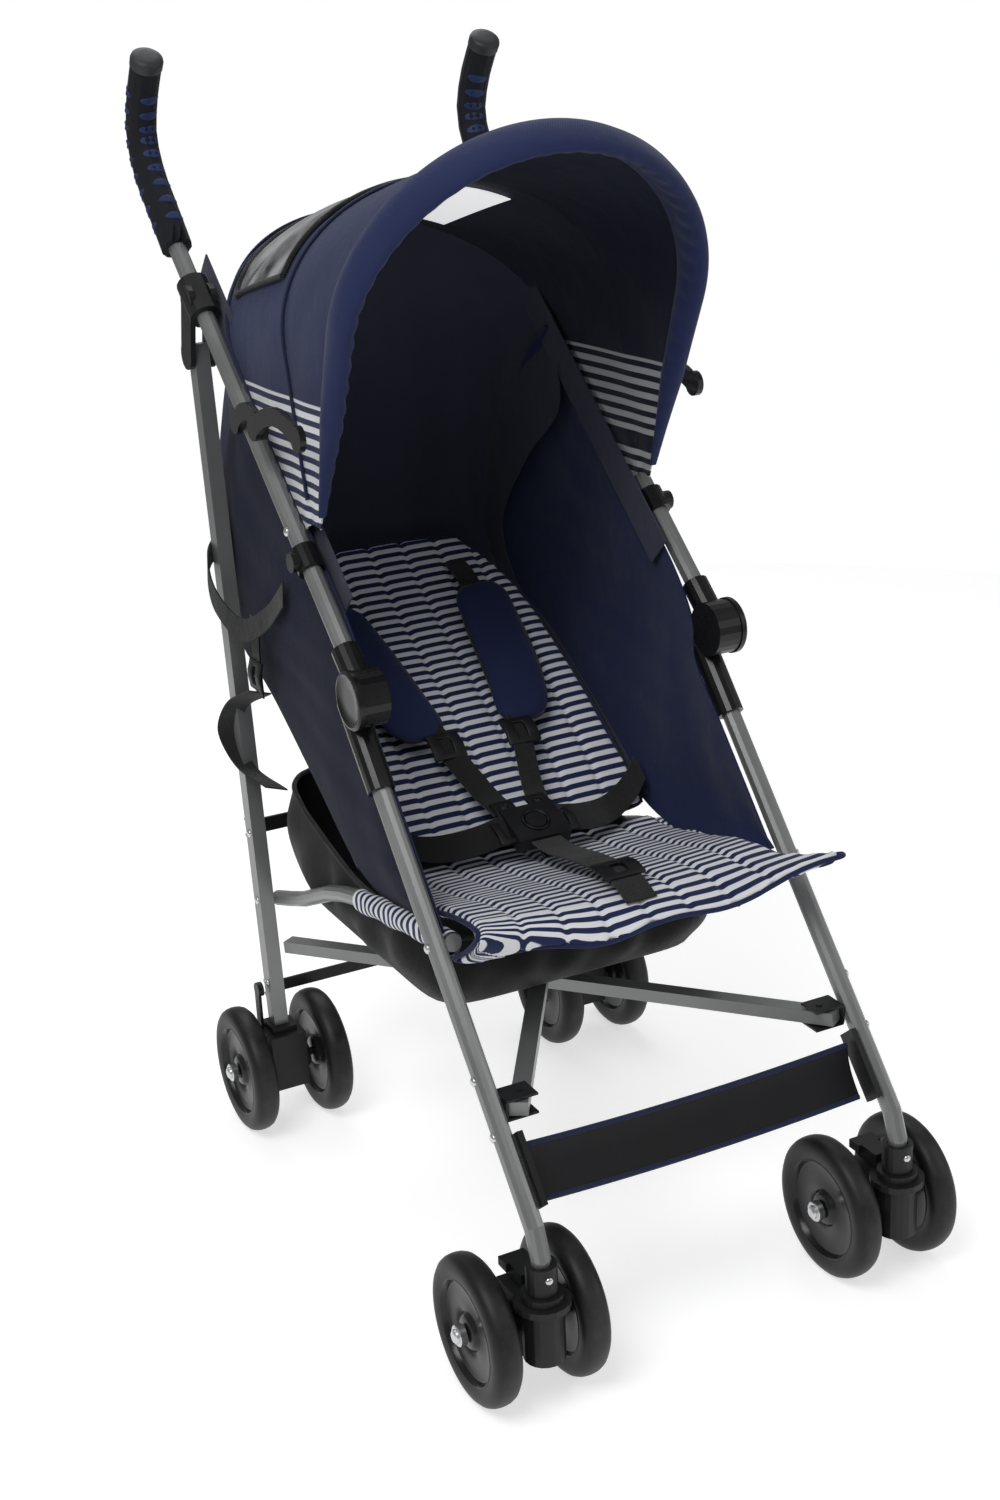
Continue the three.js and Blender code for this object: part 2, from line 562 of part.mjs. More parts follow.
const cloth = new THREE.Group();
piece(cloth, "seat_pad", seatPad(), striped);
piece(cloth, "backrest", backrest(), striped);
piece(cloth, "back_panel", backPanel(), darkCloth);
piece(cloth, "canopy_front", canopyShell(CANOPY_FRONT_ANGLE, CANOPY_JOIN_ANGLE), navy);
piece(cloth, "canopy_rear", canopyShell(CANOPY_JOIN_ANGLE + 0.3, CANOPY_REAR_ANGLE), navy);
piece(cloth, "basket", basket(), darkCloth);
piece(cloth, "footrest", footrest(), darkCloth);
stroller.add(cloth);

const harness = new THREE.Group();
harness.position.set(0, ...BUCKLE);
harness.rotation.x = THREE.MathUtils.degToRad(24);
piece(harness, "buckle", buckle(), black);
piece(harness, "buckle_button", buckleButton(), { ...black, roughness: 0.35 });
stroller.add(harness);

piece(stroller, "brake_pedal", brakePedal(), black);

export default stroller;
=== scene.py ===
# %% [markdown]
# # Umbrella stroller
# The metal and plastic parts arrive finished in shape. This lesson gives them their surfaces and sews the
# soft goods round them: sling seat, back, canopy, basket, footrest and harness. Everything is in metres,
# the child faces -Y, and Z is up.

# %% Load the frame
import json
import math
import bpy
from mathutils import Matrix, Vector


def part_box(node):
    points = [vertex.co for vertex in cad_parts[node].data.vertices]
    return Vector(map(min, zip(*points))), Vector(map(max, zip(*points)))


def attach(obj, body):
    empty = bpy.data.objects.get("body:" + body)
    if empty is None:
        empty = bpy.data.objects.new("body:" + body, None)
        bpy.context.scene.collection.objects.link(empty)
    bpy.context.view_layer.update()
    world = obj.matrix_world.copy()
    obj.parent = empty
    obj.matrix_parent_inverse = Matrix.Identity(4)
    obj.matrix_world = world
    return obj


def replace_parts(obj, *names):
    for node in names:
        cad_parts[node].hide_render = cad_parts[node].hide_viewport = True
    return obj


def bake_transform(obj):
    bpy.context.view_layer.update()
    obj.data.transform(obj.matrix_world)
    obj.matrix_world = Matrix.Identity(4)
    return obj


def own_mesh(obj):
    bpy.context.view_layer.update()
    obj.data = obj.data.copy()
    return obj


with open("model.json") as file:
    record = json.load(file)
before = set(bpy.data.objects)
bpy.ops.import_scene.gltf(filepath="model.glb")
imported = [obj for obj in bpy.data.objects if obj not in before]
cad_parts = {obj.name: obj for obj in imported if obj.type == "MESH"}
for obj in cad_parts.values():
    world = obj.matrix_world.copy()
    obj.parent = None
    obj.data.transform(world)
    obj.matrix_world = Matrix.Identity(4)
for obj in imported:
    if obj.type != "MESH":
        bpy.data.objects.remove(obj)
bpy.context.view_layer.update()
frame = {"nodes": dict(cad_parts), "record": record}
joints = {joint["name"]: joint for joint in frame["record"]["behaviour"]["joints"]}

# %% [markdown]
# ## Camera
# A normal portrait lens, a little above the canopy and to the stroller's right-hand side. The camera is
# rolled by under three degrees, as when it is held in the hand.

# %% Camera
CAMERA_PLACE = Vector((-0.834, -1.647, 1.096))
CAMERA_TURN, CAMERA_TILT, CAMERA_ROLL = (math.radians(a) for a in (-26.56, 19.79, -2.74))
LENS = 50.14


def add_camera():
    """A camera that looks along its turn and tilt, rolled about its own view line."""
    back = Vector((
        math.sin(CAMERA_TURN) * math.cos(CAMERA_TILT),
        -math.cos(CAMERA_TURN) * math.cos(CAMERA_TILT),
        math.sin(CAMERA_TILT),
    ))
    level = Vector((0, 0, 1)).cross(back).normalized()
    upright = back.cross(level)
    right = math.cos(CAMERA_ROLL) * level + math.sin(CAMERA_ROLL) * upright
    up = -math.sin(CAMERA_ROLL) * level + math.cos(CAMERA_ROLL) * upright
    bpy.ops.object.camera_add(location=CAMERA_PLACE)
    camera = bpy.context.object
    camera.matrix_world = Matrix.Translation(CAMERA_PLACE) @ Matrix((right, up, back)).transposed().to_4x4()
    camera.data.lens = LENS
    camera.data.clip_end = 50
    bpy.context.scene.camera = camera
    return camera


def deselect():
    """Nothing selected, so that the next operator touches only its own piece."""
    bpy.ops.object.select_all(action="DESELECT")


deselect()
add_camera()
print("camera at", tuple(round(value, 3) for value in CAMERA_PLACE))

# %% [markdown]
# ## Studio
# A white sweep fills the view. The floor glows a little so that it stays white, and the background is a shell
# that only the camera sees. Soft lamps from the upper left, the right and behind shape the stroller.

# %% Studio
BACKDROP_RADIUS = 24.0
FLOOR_RADIUS = 2.3


def add_lamp(name, place, target, size, power):
    """A square soft light that faces its target."""
    bpy.ops.object.light_add(type="AREA", location=place)
    lamp = bpy.context.object
    lamp.name = name
    lamp.data.size = size
    lamp.data.energy = power
    lamp.rotation_euler = (Vector(target) - Vector(place)).to_track_quat("-Z", "Y").to_euler()
    return lamp


def stage_paint(name, shade, glow):
    """White paint with a faint glow."""
    paint = bpy.data.materials.new(name)
    paint.use_nodes = True
    shader = paint.node_tree.nodes["Principled BSDF"]
    shader.inputs["Base Color"].default_value = (shade, shade, shade, 1)
    shader.inputs["Roughness"].default_value = 0.7
    shader.inputs["Specular IOR Level"].default_value = 0.2
    shader.inputs["Emission Color"].default_value = (1, 1, 1, 1)
    shader.inputs["Emission Strength"].default_value = glow
    return paint


def add_studio():
    """Floor, backdrop, lamps and a dim even world."""
    deselect()
    bpy.ops.mesh.primitive_circle_add(vertices=96, radius=FLOOR_RADIUS, fill_type="NGON")
    floor = bpy.context.object
    floor.name = "studio_floor"
    floor.data.materials.append(stage_paint("studio floor", 0.60, 0.62))
    bpy.ops.mesh.primitive_uv_sphere_add(segments=96, ring_count=48, radius=BACKDROP_RADIUS)
    backdrop = bpy.context.object
    backdrop.name = "studio_backdrop"
    backdrop.data.materials.append(stage_paint("studio backdrop", 0.0, 1.0))
    backdrop.visible_diffuse = False
    backdrop.visible_glossy = False
    backdrop.visible_transmission = False
    backdrop.visible_shadow = False
    add_lamp("key_lamp", (-1.5, -1.2, 2.7), (0, 0, 0.6), 1.5, 50)
    add_lamp("fill_lamp", (2.2, -1.8, 1.6), (0, 0, 0.5), 1.8, 12)
    add_lamp("back_lamp", (0.4, 1.6, 2.8), (0, 0.1, 0.5), 1.8, 26)
    world = bpy.data.worlds.new("studio")
    bpy.context.scene.world = world
    world.use_nodes = True
    world.node_tree.nodes["Background"].inputs["Color"].default_value = (1, 1, 1, 1)
    world.node_tree.nodes["Background"].inputs["Strength"].default_value = 0.30
    bpy.context.scene.view_settings.view_transform = "Standard"


add_studio()
print("studio ready")

# %% [markdown]
# ## Shader groups
# Three effects are shared by many finishes: a plain weave, a row of stripes and a soft cloudiness that
# stands for handling, dust and uneven dye. Each is built once as a group.

# %% Shader helpers
def add_node(tree, kind, **settings):
    """A node of one kind with some of its settings changed."""
    node = tree.nodes.new(kind)
    for name, value in settings.items():
        setattr(node, name, value)
    return node


def calculate(tree, operation, first, second=None):
    """The output of a Math node fed by sockets or plain numbers."""
    node = add_node(tree, "ShaderNodeMath", operation=operation)
    for place, value in ((0, first), (1, second)):
        if value is None:
            continue
        if isinstance(value, (int, float)):
            node.inputs[place].default_value = value
        else:
            tree.links.new(value, node.inputs[place])
    return node.outputs[0]


def start_group(name, inputs, outputs):
    """An empty shader group with float or vector inputs and float or colour outputs."""
    tree = bpy.data.node_groups.new(name, "ShaderNodeTree")
    for label, kind in inputs:
        tree.interface.new_socket(label, in_out="INPUT", socket_type=kind)
    for label, kind in outputs:
        tree.interface.new_socket(label, in_out="OUTPUT", socket_type=kind)
    return tree, tree.nodes.new("NodeGroupInput"), tree.nodes.new("NodeGroupOutput")


# %% Weave, stripe and cloud groups
def build_weave():
    """Over-and-under threads: a height from a flat position in metres and the thread pitch."""
    tree, source, result = start_group(
        "Plain Weave", [("Position", "NodeSocketVector"), ("Pitch", "NodeSocketFloat")],
        [("Height", "NodeSocketFloat")],
    )
    parts = add_node(tree, "ShaderNodeSeparateXYZ")
    tree.links.new(source.outputs["Position"], parts.inputs[0])
    waves, cells = [], []
    for axis in ("X", "Y"):
        steps = calculate(tree, "DIVIDE", parts.outputs[axis], source.outputs["Pitch"])
        wave = calculate(tree, "SINE", calculate(tree, "MULTIPLY", steps, math.pi))
        waves.append(calculate(tree, "ABSOLUTE", wave))
        cells.append(calculate(tree, "FLOOR", steps))
    turn = calculate(tree, "PINGPONG", calculate(tree, "ADD", cells[0], cells[1]), 1.0)
    over = calculate(tree, "MULTIPLY", waves[0], turn)
    under = calculate(tree, "MULTIPLY", waves[1], calculate(tree, "SUBTRACT", 1.0, turn))
    tree.links.new(calculate(tree, "ADD", over, under), result.inputs["Height"])
    return tree


def build_stripes():
    """A mask that is 1 on each light stripe, from a distance in metres, a period and the light share."""
    tree, source, result = start_group(
        "Stripes", [(label, "NodeSocketFloat") for label in ("Distance", "Period", "Light Share")],
        [("Mask", "NodeSocketFloat")],
    )
    steps = calculate(tree, "DIVIDE", source.outputs["Distance"], source.outputs["Period"])
    part = calculate(tree, "FRACT", calculate(tree, "ADD", steps, 100.0))
    rise = add_node(tree, "ShaderNodeMapRange", interpolation_type="SMOOTHSTEP")
    tree.links.new(calculate(tree, "SUBTRACT", source.outputs["Light Share"], part), rise.inputs["Value"])
    rise.inputs["From Min"].default_value = -0.03
    rise.inputs["From Max"].default_value = 0.03
    tree.links.new(rise.outputs[0], result.inputs["Mask"])
    return tree


def build_cloud():
    """Slow unevenness between 0 and 1, from the object's own position and a scale."""
    tree, source, result = start_group(
        "Soft Cloud", [("Scale", "NodeSocketFloat")], [("Mask", "NodeSocketFloat")],
    )
    place = add_node(tree, "ShaderNodeTexCoord")
    noise = add_node(tree, "ShaderNodeTexNoise")
    noise.inputs["Detail"].default_value = 4
    noise.inputs["Roughness"].default_value = 0.6
    tree.links.new(place.outputs["Object"], noise.inputs["Vector"])
    tree.links.new(source.outputs["Scale"], noise.inputs["Scale"])
    tree.links.new(noise.outputs["Fac"], result.inputs["Mask"])
    return tree


weave_group = build_weave()
stripe_group = build_stripes()
cloud_group = build_cloud()
print("shader groups:", [group.name for group in (weave_group, stripe_group, cloud_group)])

# %% [markdown]
# ## Finishes
# Every finish varies a little over its surface. Cloth gets threads from its own UV map, which is laid out
# in metres, so a thread has one size everywhere.

# %% Building blocks for finishes
def start_material(name, roughness=0.5, metallic=0.0, sheen=0.0, coat=0.0, specular=0.5):
    """A new material, its node tree and its shader."""
    material = bpy.data.materials.new(name)
    material.use_nodes = True
    shader = material.node_tree.nodes["Principled BSDF"]
    shader.inputs["Roughness"].default_value = roughness
    shader.inputs["Metallic"].default_value = metallic
    shader.inputs["Sheen Weight"].default_value = sheen
    shader.inputs["Sheen Roughness"].default_value = 0.4
    shader.inputs["Coat Weight"].default_value = coat
    shader.inputs["Coat Roughness"].default_value = 0.12
    shader.inputs["Specular IOR Level"].default_value = specular
    return material, material.node_tree, shader


def place_group(tree, group, **values):
    """A group node whose inputs are sockets or numbers."""
    node = add_node(tree, "ShaderNodeGroup", node_tree=group)
    for label, value in values.items():
        socket = node.inputs[label.replace("_", " ")]
        if isinstance(value, (int, float)):
            socket.default_value = value
        else:
            tree.links.new(value, socket)
    return node.outputs[0]


def mix_colours(tree, mask, dark, light):
    """Dark where the mask is 0 and light where it is 1; each is a colour or a socket."""
    node = add_node(tree, "ShaderNodeMix", data_type="RGBA")
    if isinstance(mask, (int, float)):
        node.inputs["Factor"].default_value = mask
    else:
        tree.links.new(mask, node.inputs["Factor"])
    for slot, colour in ((6, dark), (7, light)):
        if isinstance(colour, tuple):
            node.inputs[slot].default_value = (*colour, 1)
        else:
            tree.links.new(colour, node.inputs[slot])
    return node.outputs[2]


def spread(tree, mask, low, high, output_low, output_high):
    """A mask stretched to new limits."""
    node = add_node(tree, "ShaderNodeMapRange")
    tree.links.new(mask, node.inputs["Value"])
    limits = {"From Min": low, "From Max": high, "To Min": output_low, "To Max": output_high}
    for label, value in limits.items():
        node.inputs[label].default_value = value
    return node.outputs[0]


def add_bump(tree, shader, height, strength, distance):
    """Raise the surface by a height socket."""
    bump = add_node(tree, "ShaderNodeBump")
    bump.inputs["Strength"].default_value = strength
    bump.inputs["Distance"].default_value = distance
    tree.links.new(height, bump.inputs["Height"])
    tree.links.new(bump.outputs[0], shader.inputs["Normal"])


def fine_noise(tree, scale, detail=2.0):
    """Fine grain from the object's own position."""
    place = add_node(tree, "ShaderNodeTexCoord")
    noise = add_node(tree, "ShaderNodeTexNoise")
    noise.inputs["Scale"].default_value = scale
    noise.inputs["Detail"].default_value = detail
    tree.links.new(place.outputs["Object"], noise.inputs["Vector"])
    return noise.outputs["Fac"]


def object_axis(tree, axis):
    """One coordinate of the object's own position, in metres."""
    place = add_node(tree, "ShaderNodeTexCoord")
    parts = add_node(tree, "ShaderNodeSeparateXYZ")
    tree.links.new(place.outputs["Object"], parts.inputs[0])
    return parts.outputs[axis]


# %% Hard finishes
def painted_metal(name, colour, roughness, metallic):
    """Sprayed tube: even, with faint orange peel and slightly duller patches from handling."""
    material, tree, shader = start_material(name, roughness, metallic)
    cloud = place_group(tree, cloud_group, Scale=9.0)
    darker = tuple(value * 0.86 for value in colour)
    tree.links.new(mix_colours(tree, cloud, darker, colour), shader.inputs["Base Color"])
    gloss = spread(tree, cloud, 0.3, 0.7, roughness - 0.06, roughness + 0.1)
    tree.links.new(gloss, shader.inputs["Roughness"])
    add_bump(tree, shader, fine_noise(tree, 420.0), 0.12, 0.0004)
    return material


def moulded_plastic(name, colour, roughness, grain, coat=0.0):
    """Moulded part: fine spark grain and a slow change of gloss."""
    material, tree, shader = start_material(name, roughness, coat=coat, specular=0.28)
    cloud = place_group(tree, cloud_group, Scale=24.0)
    lighter = tuple(value * 1.5 for value in colour)
    worn = spread(tree, cloud, 0.45, 0.8, 0, 1)
    gloss = spread(tree, cloud, 0.3, 0.7, roughness - 0.05, roughness + 0.09)
    tree.links.new(mix_colours(tree, worn, colour, lighter), shader.inputs["Base Color"])
    tree.links.new(gloss, shader.inputs["Roughness"])
    add_bump(tree, shader, fine_noise(tree, 1500.0), grain, 0.0003)
    return material


HUB_RADIUS = 0.0455
TREAD_START, TREAD_END = 0.058, 0.065
DUST = (0.07, 0.068, 0.065)


def wheel_finish(name, axle_place):
    """Matt foam tyre outside the hub's edge and glossy moulded disc inside it."""
    material, tree, shader = start_material(name, 0.5, specular=0.3)
    reach = []
    for axis, centre in (("Y", axle_place[1]), ("Z", axle_place[2])):
        off = calculate(tree, "SUBTRACT", object_axis(tree, axis), float(centre))
        reach.append(calculate(tree, "MULTIPLY", off, off))
    radius = calculate(tree, "SQRT", calculate(tree, "ADD", reach[0], reach[1]))
    tyre = spread(tree, radius, HUB_RADIUS - 0.0006, HUB_RADIUS + 0.0006, 0, 1)
    cloud = place_group(tree, cloud_group, Scale=30.0)
    rubber = mix_colours(tree, cloud, (0.0045, 0.0045, 0.005), (0.009, 0.009, 0.0095))
    disc = mix_colours(tree, cloud, (0.008, 0.008, 0.0085), (0.014, 0.014, 0.0145))
    tread = spread(tree, radius, TREAD_START, TREAD_END, 0, 1)
    dust = spread(tree, calculate(tree, "MULTIPLY", cloud, tread), 0.35, 0.7, 0, 0.35)
    clean = mix_colours(tree, tyre, disc, rubber)
    tree.links.new(mix_colours(tree, dust, clean, DUST), shader.inputs["Base Color"])
    tree.links.new(spread(tree, tyre, 0, 1, 0.24, 0.48), shader.inputs["Roughness"])
    add_bump(tree, shader, calculate(tree, "MULTIPLY", fine_noise(tree, 900.0), tyre), 0.25, 0.0003)
    return material


def foam_finish():
    """Closed-cell grip foam with a fine pebbled skin."""
    material, tree, shader = start_material("grip foam", 0.75, sheen=0.04, specular=0.2)
    cloud = place_group(tree, cloud_group, Scale=40.0)
    skin = mix_colours(tree, cloud, (0.0045, 0.005, 0.008), (0.011, 0.012, 0.016))
    tree.links.new(skin, shader.inputs["Base Color"])
    add_bump(tree, shader, fine_noise(tree, 1100.0, 4.0), 0.4, 0.0005)
    return material


silver = painted_metal("silver paint", (0.235, 0.24, 0.238), 0.34, 0.6)
zinc = painted_metal("zinc plate", (0.62, 0.63, 0.64), 0.26, 0.95)
black_plastic = moulded_plastic("black plastic", (0.009, 0.0092, 0.010), 0.42, 0.25)
gloss_plastic = moulded_plastic("gloss plastic", (0.005, 0.005, 0.0055), 0.26, 0.06, coat=0.1)
grey_cap = moulded_plastic("grey end cap", (0.026, 0.027, 0.029), 0.45, 0.3)
front_wheel_finish = wheel_finish("front wheel", joints["front_wheel_left_inner_spin"]["pos_m"])
rear_wheel_finish = wheel_finish("rear wheel", joints["rear_wheel_left_inner_spin"]["pos_m"])
foam = foam_finish()
print("hard finishes ready")

# %% Cloth finishes
THREAD = 0.0011
STRIPE_PERIOD = 0.0112
NAVY = (0.0085, 0.0135, 0.050)
NAVY_LIGHT = (0.014, 0.022, 0.074)
WHITE = (0.74, 0.75, 0.78)


def add_threads(tree, shader, strength, pitch=THREAD):
    """Weave from the UV map, which is in metres, with a slight crumple under it."""
    uv = add_node(tree, "ShaderNodeUVMap")
    threads = place_group(tree, weave_group, Position=uv.outputs[0], Pitch=pitch)
    crumple = fine_noise(tree, 26.0, 3.0)
    fine = calculate(tree, "MULTIPLY", threads, 0.25)
    broad = calculate(tree, "MULTIPLY", crumple, 4.0)
    add_bump(tree, shader, calculate(tree, "ADD", fine, broad), strength, 0.0011)
    return threads


def plain_cloth(name, dark, light, roughness=0.78, sheen=0.12, strength=0.5):
    """Dyed woven cloth."""
    material, tree, shader = start_material(name, roughness, sheen=sheen, specular=0.2)
    threads = add_threads(tree, shader, strength)
    cloud = place_group(tree, cloud_group, Scale=14.0)
    uneven = calculate(tree, "MULTIPLY", cloud, 0.7)
    shade = calculate(tree, "ADD", uneven, calculate(tree, "MULTIPLY", threads, 0.3))
    tree.links.new(mix_colours(tree, shade, dark, light), shader.inputs["Base Color"])
    return material


def striped_cloth(name):
    """Navy and white stripes that run across the piece, spaced along its length by the UV map."""
    material, tree, shader = start_material(name, 0.8, sheen=0.1, specular=0.2)
    threads = add_threads(tree, shader, 0.5)
    uv = add_node(tree, "ShaderNodeUVMap")
    parts = add_node(tree, "ShaderNodeSeparateXYZ")
    tree.links.new(uv.outputs[0], parts.inputs[0])
    mask = place_group(tree, stripe_group, Distance=parts.outputs["Y"], Period=STRIPE_PERIOD, Light_Share=0.5)
    cloud = place_group(tree, cloud_group, Scale=12.0)
    blue = mix_colours(tree, threads, NAVY, NAVY_LIGHT)
    white = mix_colours(tree, cloud, (0.66, 0.67, 0.71), WHITE)
    tree.links.new(mix_colours(tree, mask, blue, white), shader.inputs["Base Color"])
    return material


CANOPY_STRIPE_TOP = 0.776
STRIPE_GAP = (0.690, 0.706)
CANOPY_NAVY = (0.0095, 0.0155, 0.058)
CANOPY_NAVY_LIGHT = (0.016, 0.026, 0.088)


def canopy_cloth(name, painted_shade_scale=1.0):
    """Navy cloth with a level band of stripes low on each side, plain across a tape inside; a scale below 1
    darkens it as painted shade for the canopy's inner faces.
    """
    material, tree, shader = start_material(name, 0.78, sheen=0.12, specular=0.2)
    threads = add_threads(tree, shader, 0.5)
    height = object_axis(tree, "Z")
    stripes = place_group(tree, stripe_group, Distance=height, Period=STRIPE_PERIOD, Light_Share=0.52)
    low = spread(tree, height, CANOPY_STRIPE_TOP - 0.0005, CANOPY_STRIPE_TOP + 0.0005, 1, 0)
    if painted_shade_scale < 1.0:
        above = calculate(tree, "GREATER_THAN", height, STRIPE_GAP[1])
        below = calculate(tree, "LESS_THAN", height, STRIPE_GAP[0])
        low = calculate(tree, "MULTIPLY", low, calculate(tree, "MAXIMUM", above, below))
    cloud = place_group(tree, cloud_group, Scale=10.0)
    # Painted shade: the navy and the white stripes are darkened by the scale.
    dark, light = (tuple(value * painted_shade_scale for value in shade) for shade in (CANOPY_NAVY, CANOPY_NAVY_LIGHT))
    white = tuple(value * (0.4 + 0.6 * painted_shade_scale) for value in WHITE)
    blue = mix_colours(tree, calculate(tree, "MULTIPLY", cloud, threads), dark, light)
    printed = calculate(tree, "MULTIPLY", stripes, low)
    tree.links.new(mix_colours(tree, printed, blue, white), shader.inputs["Base Color"])
    return material


def clear_window():
    """Soft clear film: a dark tone for the shaded inside seen through it, with pale patches painted in as
    reflections, and faint creases.
    """
    material, tree, shader = start_material("window film", 0.12, coat=0.6)
    crease = fine_noise(tree, 16.0, 5.0)
    # Painted reflections: pale patches over the dark film.
    painted_reflection = spread(tree, crease, 0.4, 0.62, 0, 1)
    film = mix_colours(tree, painted_reflection, (0.035, 0.037, 0.042), (0.42, 0.43, 0.45))
    tree.links.new(film, shader.inputs["Base Color"])
    add_bump(tree, shader, crease, 0.5, 0.004)
    return material


navy_cloth = plain_cloth("navy cloth", NAVY, NAVY_LIGHT)
navy_bright = plain_cloth("canopy navy", CANOPY_NAVY, CANOPY_NAVY_LIGHT)
# A darker copy of the navy for the wings' inward faces: painted shade.
navy_painted_shade = plain_cloth("navy painted shade", (0.0035, 0.0050, 0.017), (0.006, 0.0085, 0.027), 0.85, 0.03, 0.5)
dark_cloth = plain_cloth("dark lining", (0.026, 0.028, 0.048), (0.044, 0.047, 0.076))
black_cloth = plain_cloth("basket cloth", (0.0045, 0.0045, 0.005), (0.010, 0.010, 0.011), 0.7)
vinyl = plain_cloth("footrest cloth", (0.005, 0.005, 0.006), (0.010, 0.010, 0.012), 0.5, 0.1, 0.3)
webbing = plain_cloth("webbing", (0.004, 0.004, 0.0045), (0.012, 0.012, 0.013), 0.65, 0.2, 0.8)
stripes_cloth = striped_cloth("striped cloth")
canopy_stripes = canopy_cloth("canopy cloth")
# The canopy's inner faces get a darker copy of its cloth, which is painted shade.
canopy_inside_painted_shade = canopy_cloth("canopy inside painted shade", 0.3)
piping_cloth = plain_cloth("piping", (0.008, 0.012, 0.04), (0.015, 0.02, 0.06), 0.6)
window_film = clear_window()
print("cloth finishes ready")

# %% Finish the frame parts
PAINTED = ("front_leg", "push_tube", "rear_leg", "seat_tube", "cross_arm")
GLOSSY = ("hub", "canopy_clamp", "stay_rear", "stay_front")


def finish_for(name):
    """The finish of one hard part, by its name."""
    if name.startswith("front_wheel"):
        return front_wheel_finish
    if name.startswith("rear_wheel"):
        return rear_wheel_finish
    if name.startswith("grip"):
        return foam
    if name.startswith(PAINTED):
        return silver
    return gloss_plastic if name.startswith(GLOSSY) else black_plastic


for name, node in frame["nodes"].items():
    for slot in node.material_slots:
        slot.material = finish_for(name)
print("finished", len(frame["nodes"]), "frame parts")

# %% [markdown]
# ## Places on the frame
# The side view of the frame is a handful of straight lines. The same few points place every cloth edge,
# strap and rivet.

# %% Side view lines
BOTH_SIDES = ((-1, "left"), (1, "right"))
SIDE = 0.178
HUB = (-0.083, 0.540)
GRIP_BASE = (0.300, 0.886)
LEG_TOP = (-0.0578, 0.518)
LEG_BEND = (-0.3445, 0.178)
REAR_FOOT = (0.207, 0.072)
REAR_TOP = (0.266, 0.800)
PIVOT = Vector(joints["canopy_fold"]["pos_m"])


def on_line(low, high, z):
    """The Y where a side-view line reaches a height."""
    return low[0] + (z - low[1]) * (high[0] - low[0]) / (high[1] - low[1])


def push_tube_y(z):
    return on_line(HUB, GRIP_BASE, z)


def front_leg_y(z):
    return on_line(LEG_TOP, LEG_BEND, z)


def rear_leg_y(z):
    return on_line(REAR_FOOT, REAR_TOP, z)


print("canopy turns about", tuple(round(value, 3) for value in PIVOT))

# %% [markdown]
# ## Tools for sewing
# A flat grid is the start of each sheet. Its corners run from 0 to 1 both ways, and a rule for the piece
# puts each point where the cloth hangs.

# %% Grids, thickness and riding
def cloth_grid(name, across, along, flat, place):
    """A grid of cloth laid by place(u, v), with a UV map in metres."""
    deselect()
    bpy.ops.mesh.primitive_grid_add(x_subdivisions=across, y_subdivisions=along, size=1, location=(0, 0, 0))
    piece = bpy.context.object
    piece.name = name
    for vertex in piece.data.vertices:
        vertex.co = place(vertex.co.x + 0.5, vertex.co.y + 0.5)
    for corner in piece.data.uv_layers.active.data:
        corner.uv = (corner.uv[0] * flat[0], corner.uv[1] * flat[1])
    return piece


def pick(piece):
    """Select one piece alone and make it the active one."""
    deselect()
    piece.select_set(True)
    bpy.context.view_layer.objects.active = piece


def apply_modifier(piece, kind, **settings):
    """Add one modifier, set it and apply it."""
    pick(piece)
    modifier = piece.modifiers.new(kind.title(), kind)
    for name, value in settings.items():
        setattr(modifier, name, value)
    bpy.ops.object.modifier_apply(modifier=modifier.name)
    return piece


def close_mesh(piece, distance=0.00005):
    """Merge the doubled points of a closed shape and turn its faces outwards."""
    pick(piece)
    bpy.ops.object.mode_set(mode="EDIT")
    bpy.ops.mesh.select_all(action="SELECT")
    bpy.ops.mesh.remove_doubles(threshold=distance)
    bpy.ops.mesh.normals_make_consistent(inside=False)
    bpy.ops.object.mode_set(mode="OBJECT")
    return piece


def smooth(piece, angle=50):
    """Soft shading except over sharp edges."""
    pick(piece)
    bpy.ops.object.shade_smooth_by_angle(angle=math.radians(angle))
    return piece


def thicken(piece, thickness, offset=0, crease=60):
    """Turn a sheet into cloth or film of a real thickness, softly shaded."""
    apply_modifier(piece, "SOLIDIFY", thickness=thickness, offset=offset)
    return smooth(piece, crease)


def dress(piece, material, body):
    """Give a piece its finish and the body that carries it."""
    piece.data.materials.clear()
    piece.data.materials.append(material)
    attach(piece, body)
    return piece


def along_path(points):
    """A smooth rule from 0 to 1 through the points."""
    spots = [Vector(point) for point in points]
    spots = [2 * spots[0] - spots[1], *spots, 2 * spots[-1] - spots[-2]]
    spans = len(spots) - 3

    def at(t):
        place = min(max(t, 0.0), 1.0) * spans
        first = min(int(place), spans - 1)
        f = place - first
        a, b, c, d = spots[first:first + 4]
        square = 2 * a - 5 * b + 4 * c - d
        cube = 3 * b - a - 3 * c + d
        return 0.5 * (2 * b + (c - a) * f + square * f * f + cube * f ** 3)

    return at


def path_length(at, steps=60):
    """Length of a smooth rule."""
    spots = [at(i / steps) for i in range(steps + 1)]
    return sum((b - a).length for a, b in zip(spots, spots[1:]))


def paint_shade_inside(piece, lining, faces_in):
    """Give the faces that look inwards a second finish, a darker copy of the first that is painted shade."""
    piece.data.materials.append(lining)
    for face in piece.data.polygons:
        face.material_index = 1 if faces_in(face) else 0
    return piece


def fold_with_frame(piece):
    """Give a piece its own copy of its mesh."""
    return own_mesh(piece)


# %% Straps and piping
WEBBING_THICKNESS = 0.0016


def strap(name, points, width, flat_side, body, material=None, steps=40):
    """Flat webbing along a path, as wide as width in the direction of flat_side."""
    at = along_path(points)
    sideways = Vector(flat_side).normalized()
    piece = cloth_grid(
        name, 4, steps, (width, path_length(at)),
        lambda u, v: at(v) + sideways * width * (u - 0.5),
    )
    thicken(piece, WEBBING_THICKNESS, crease=40)
    return dress(piece, material or webbing, body)


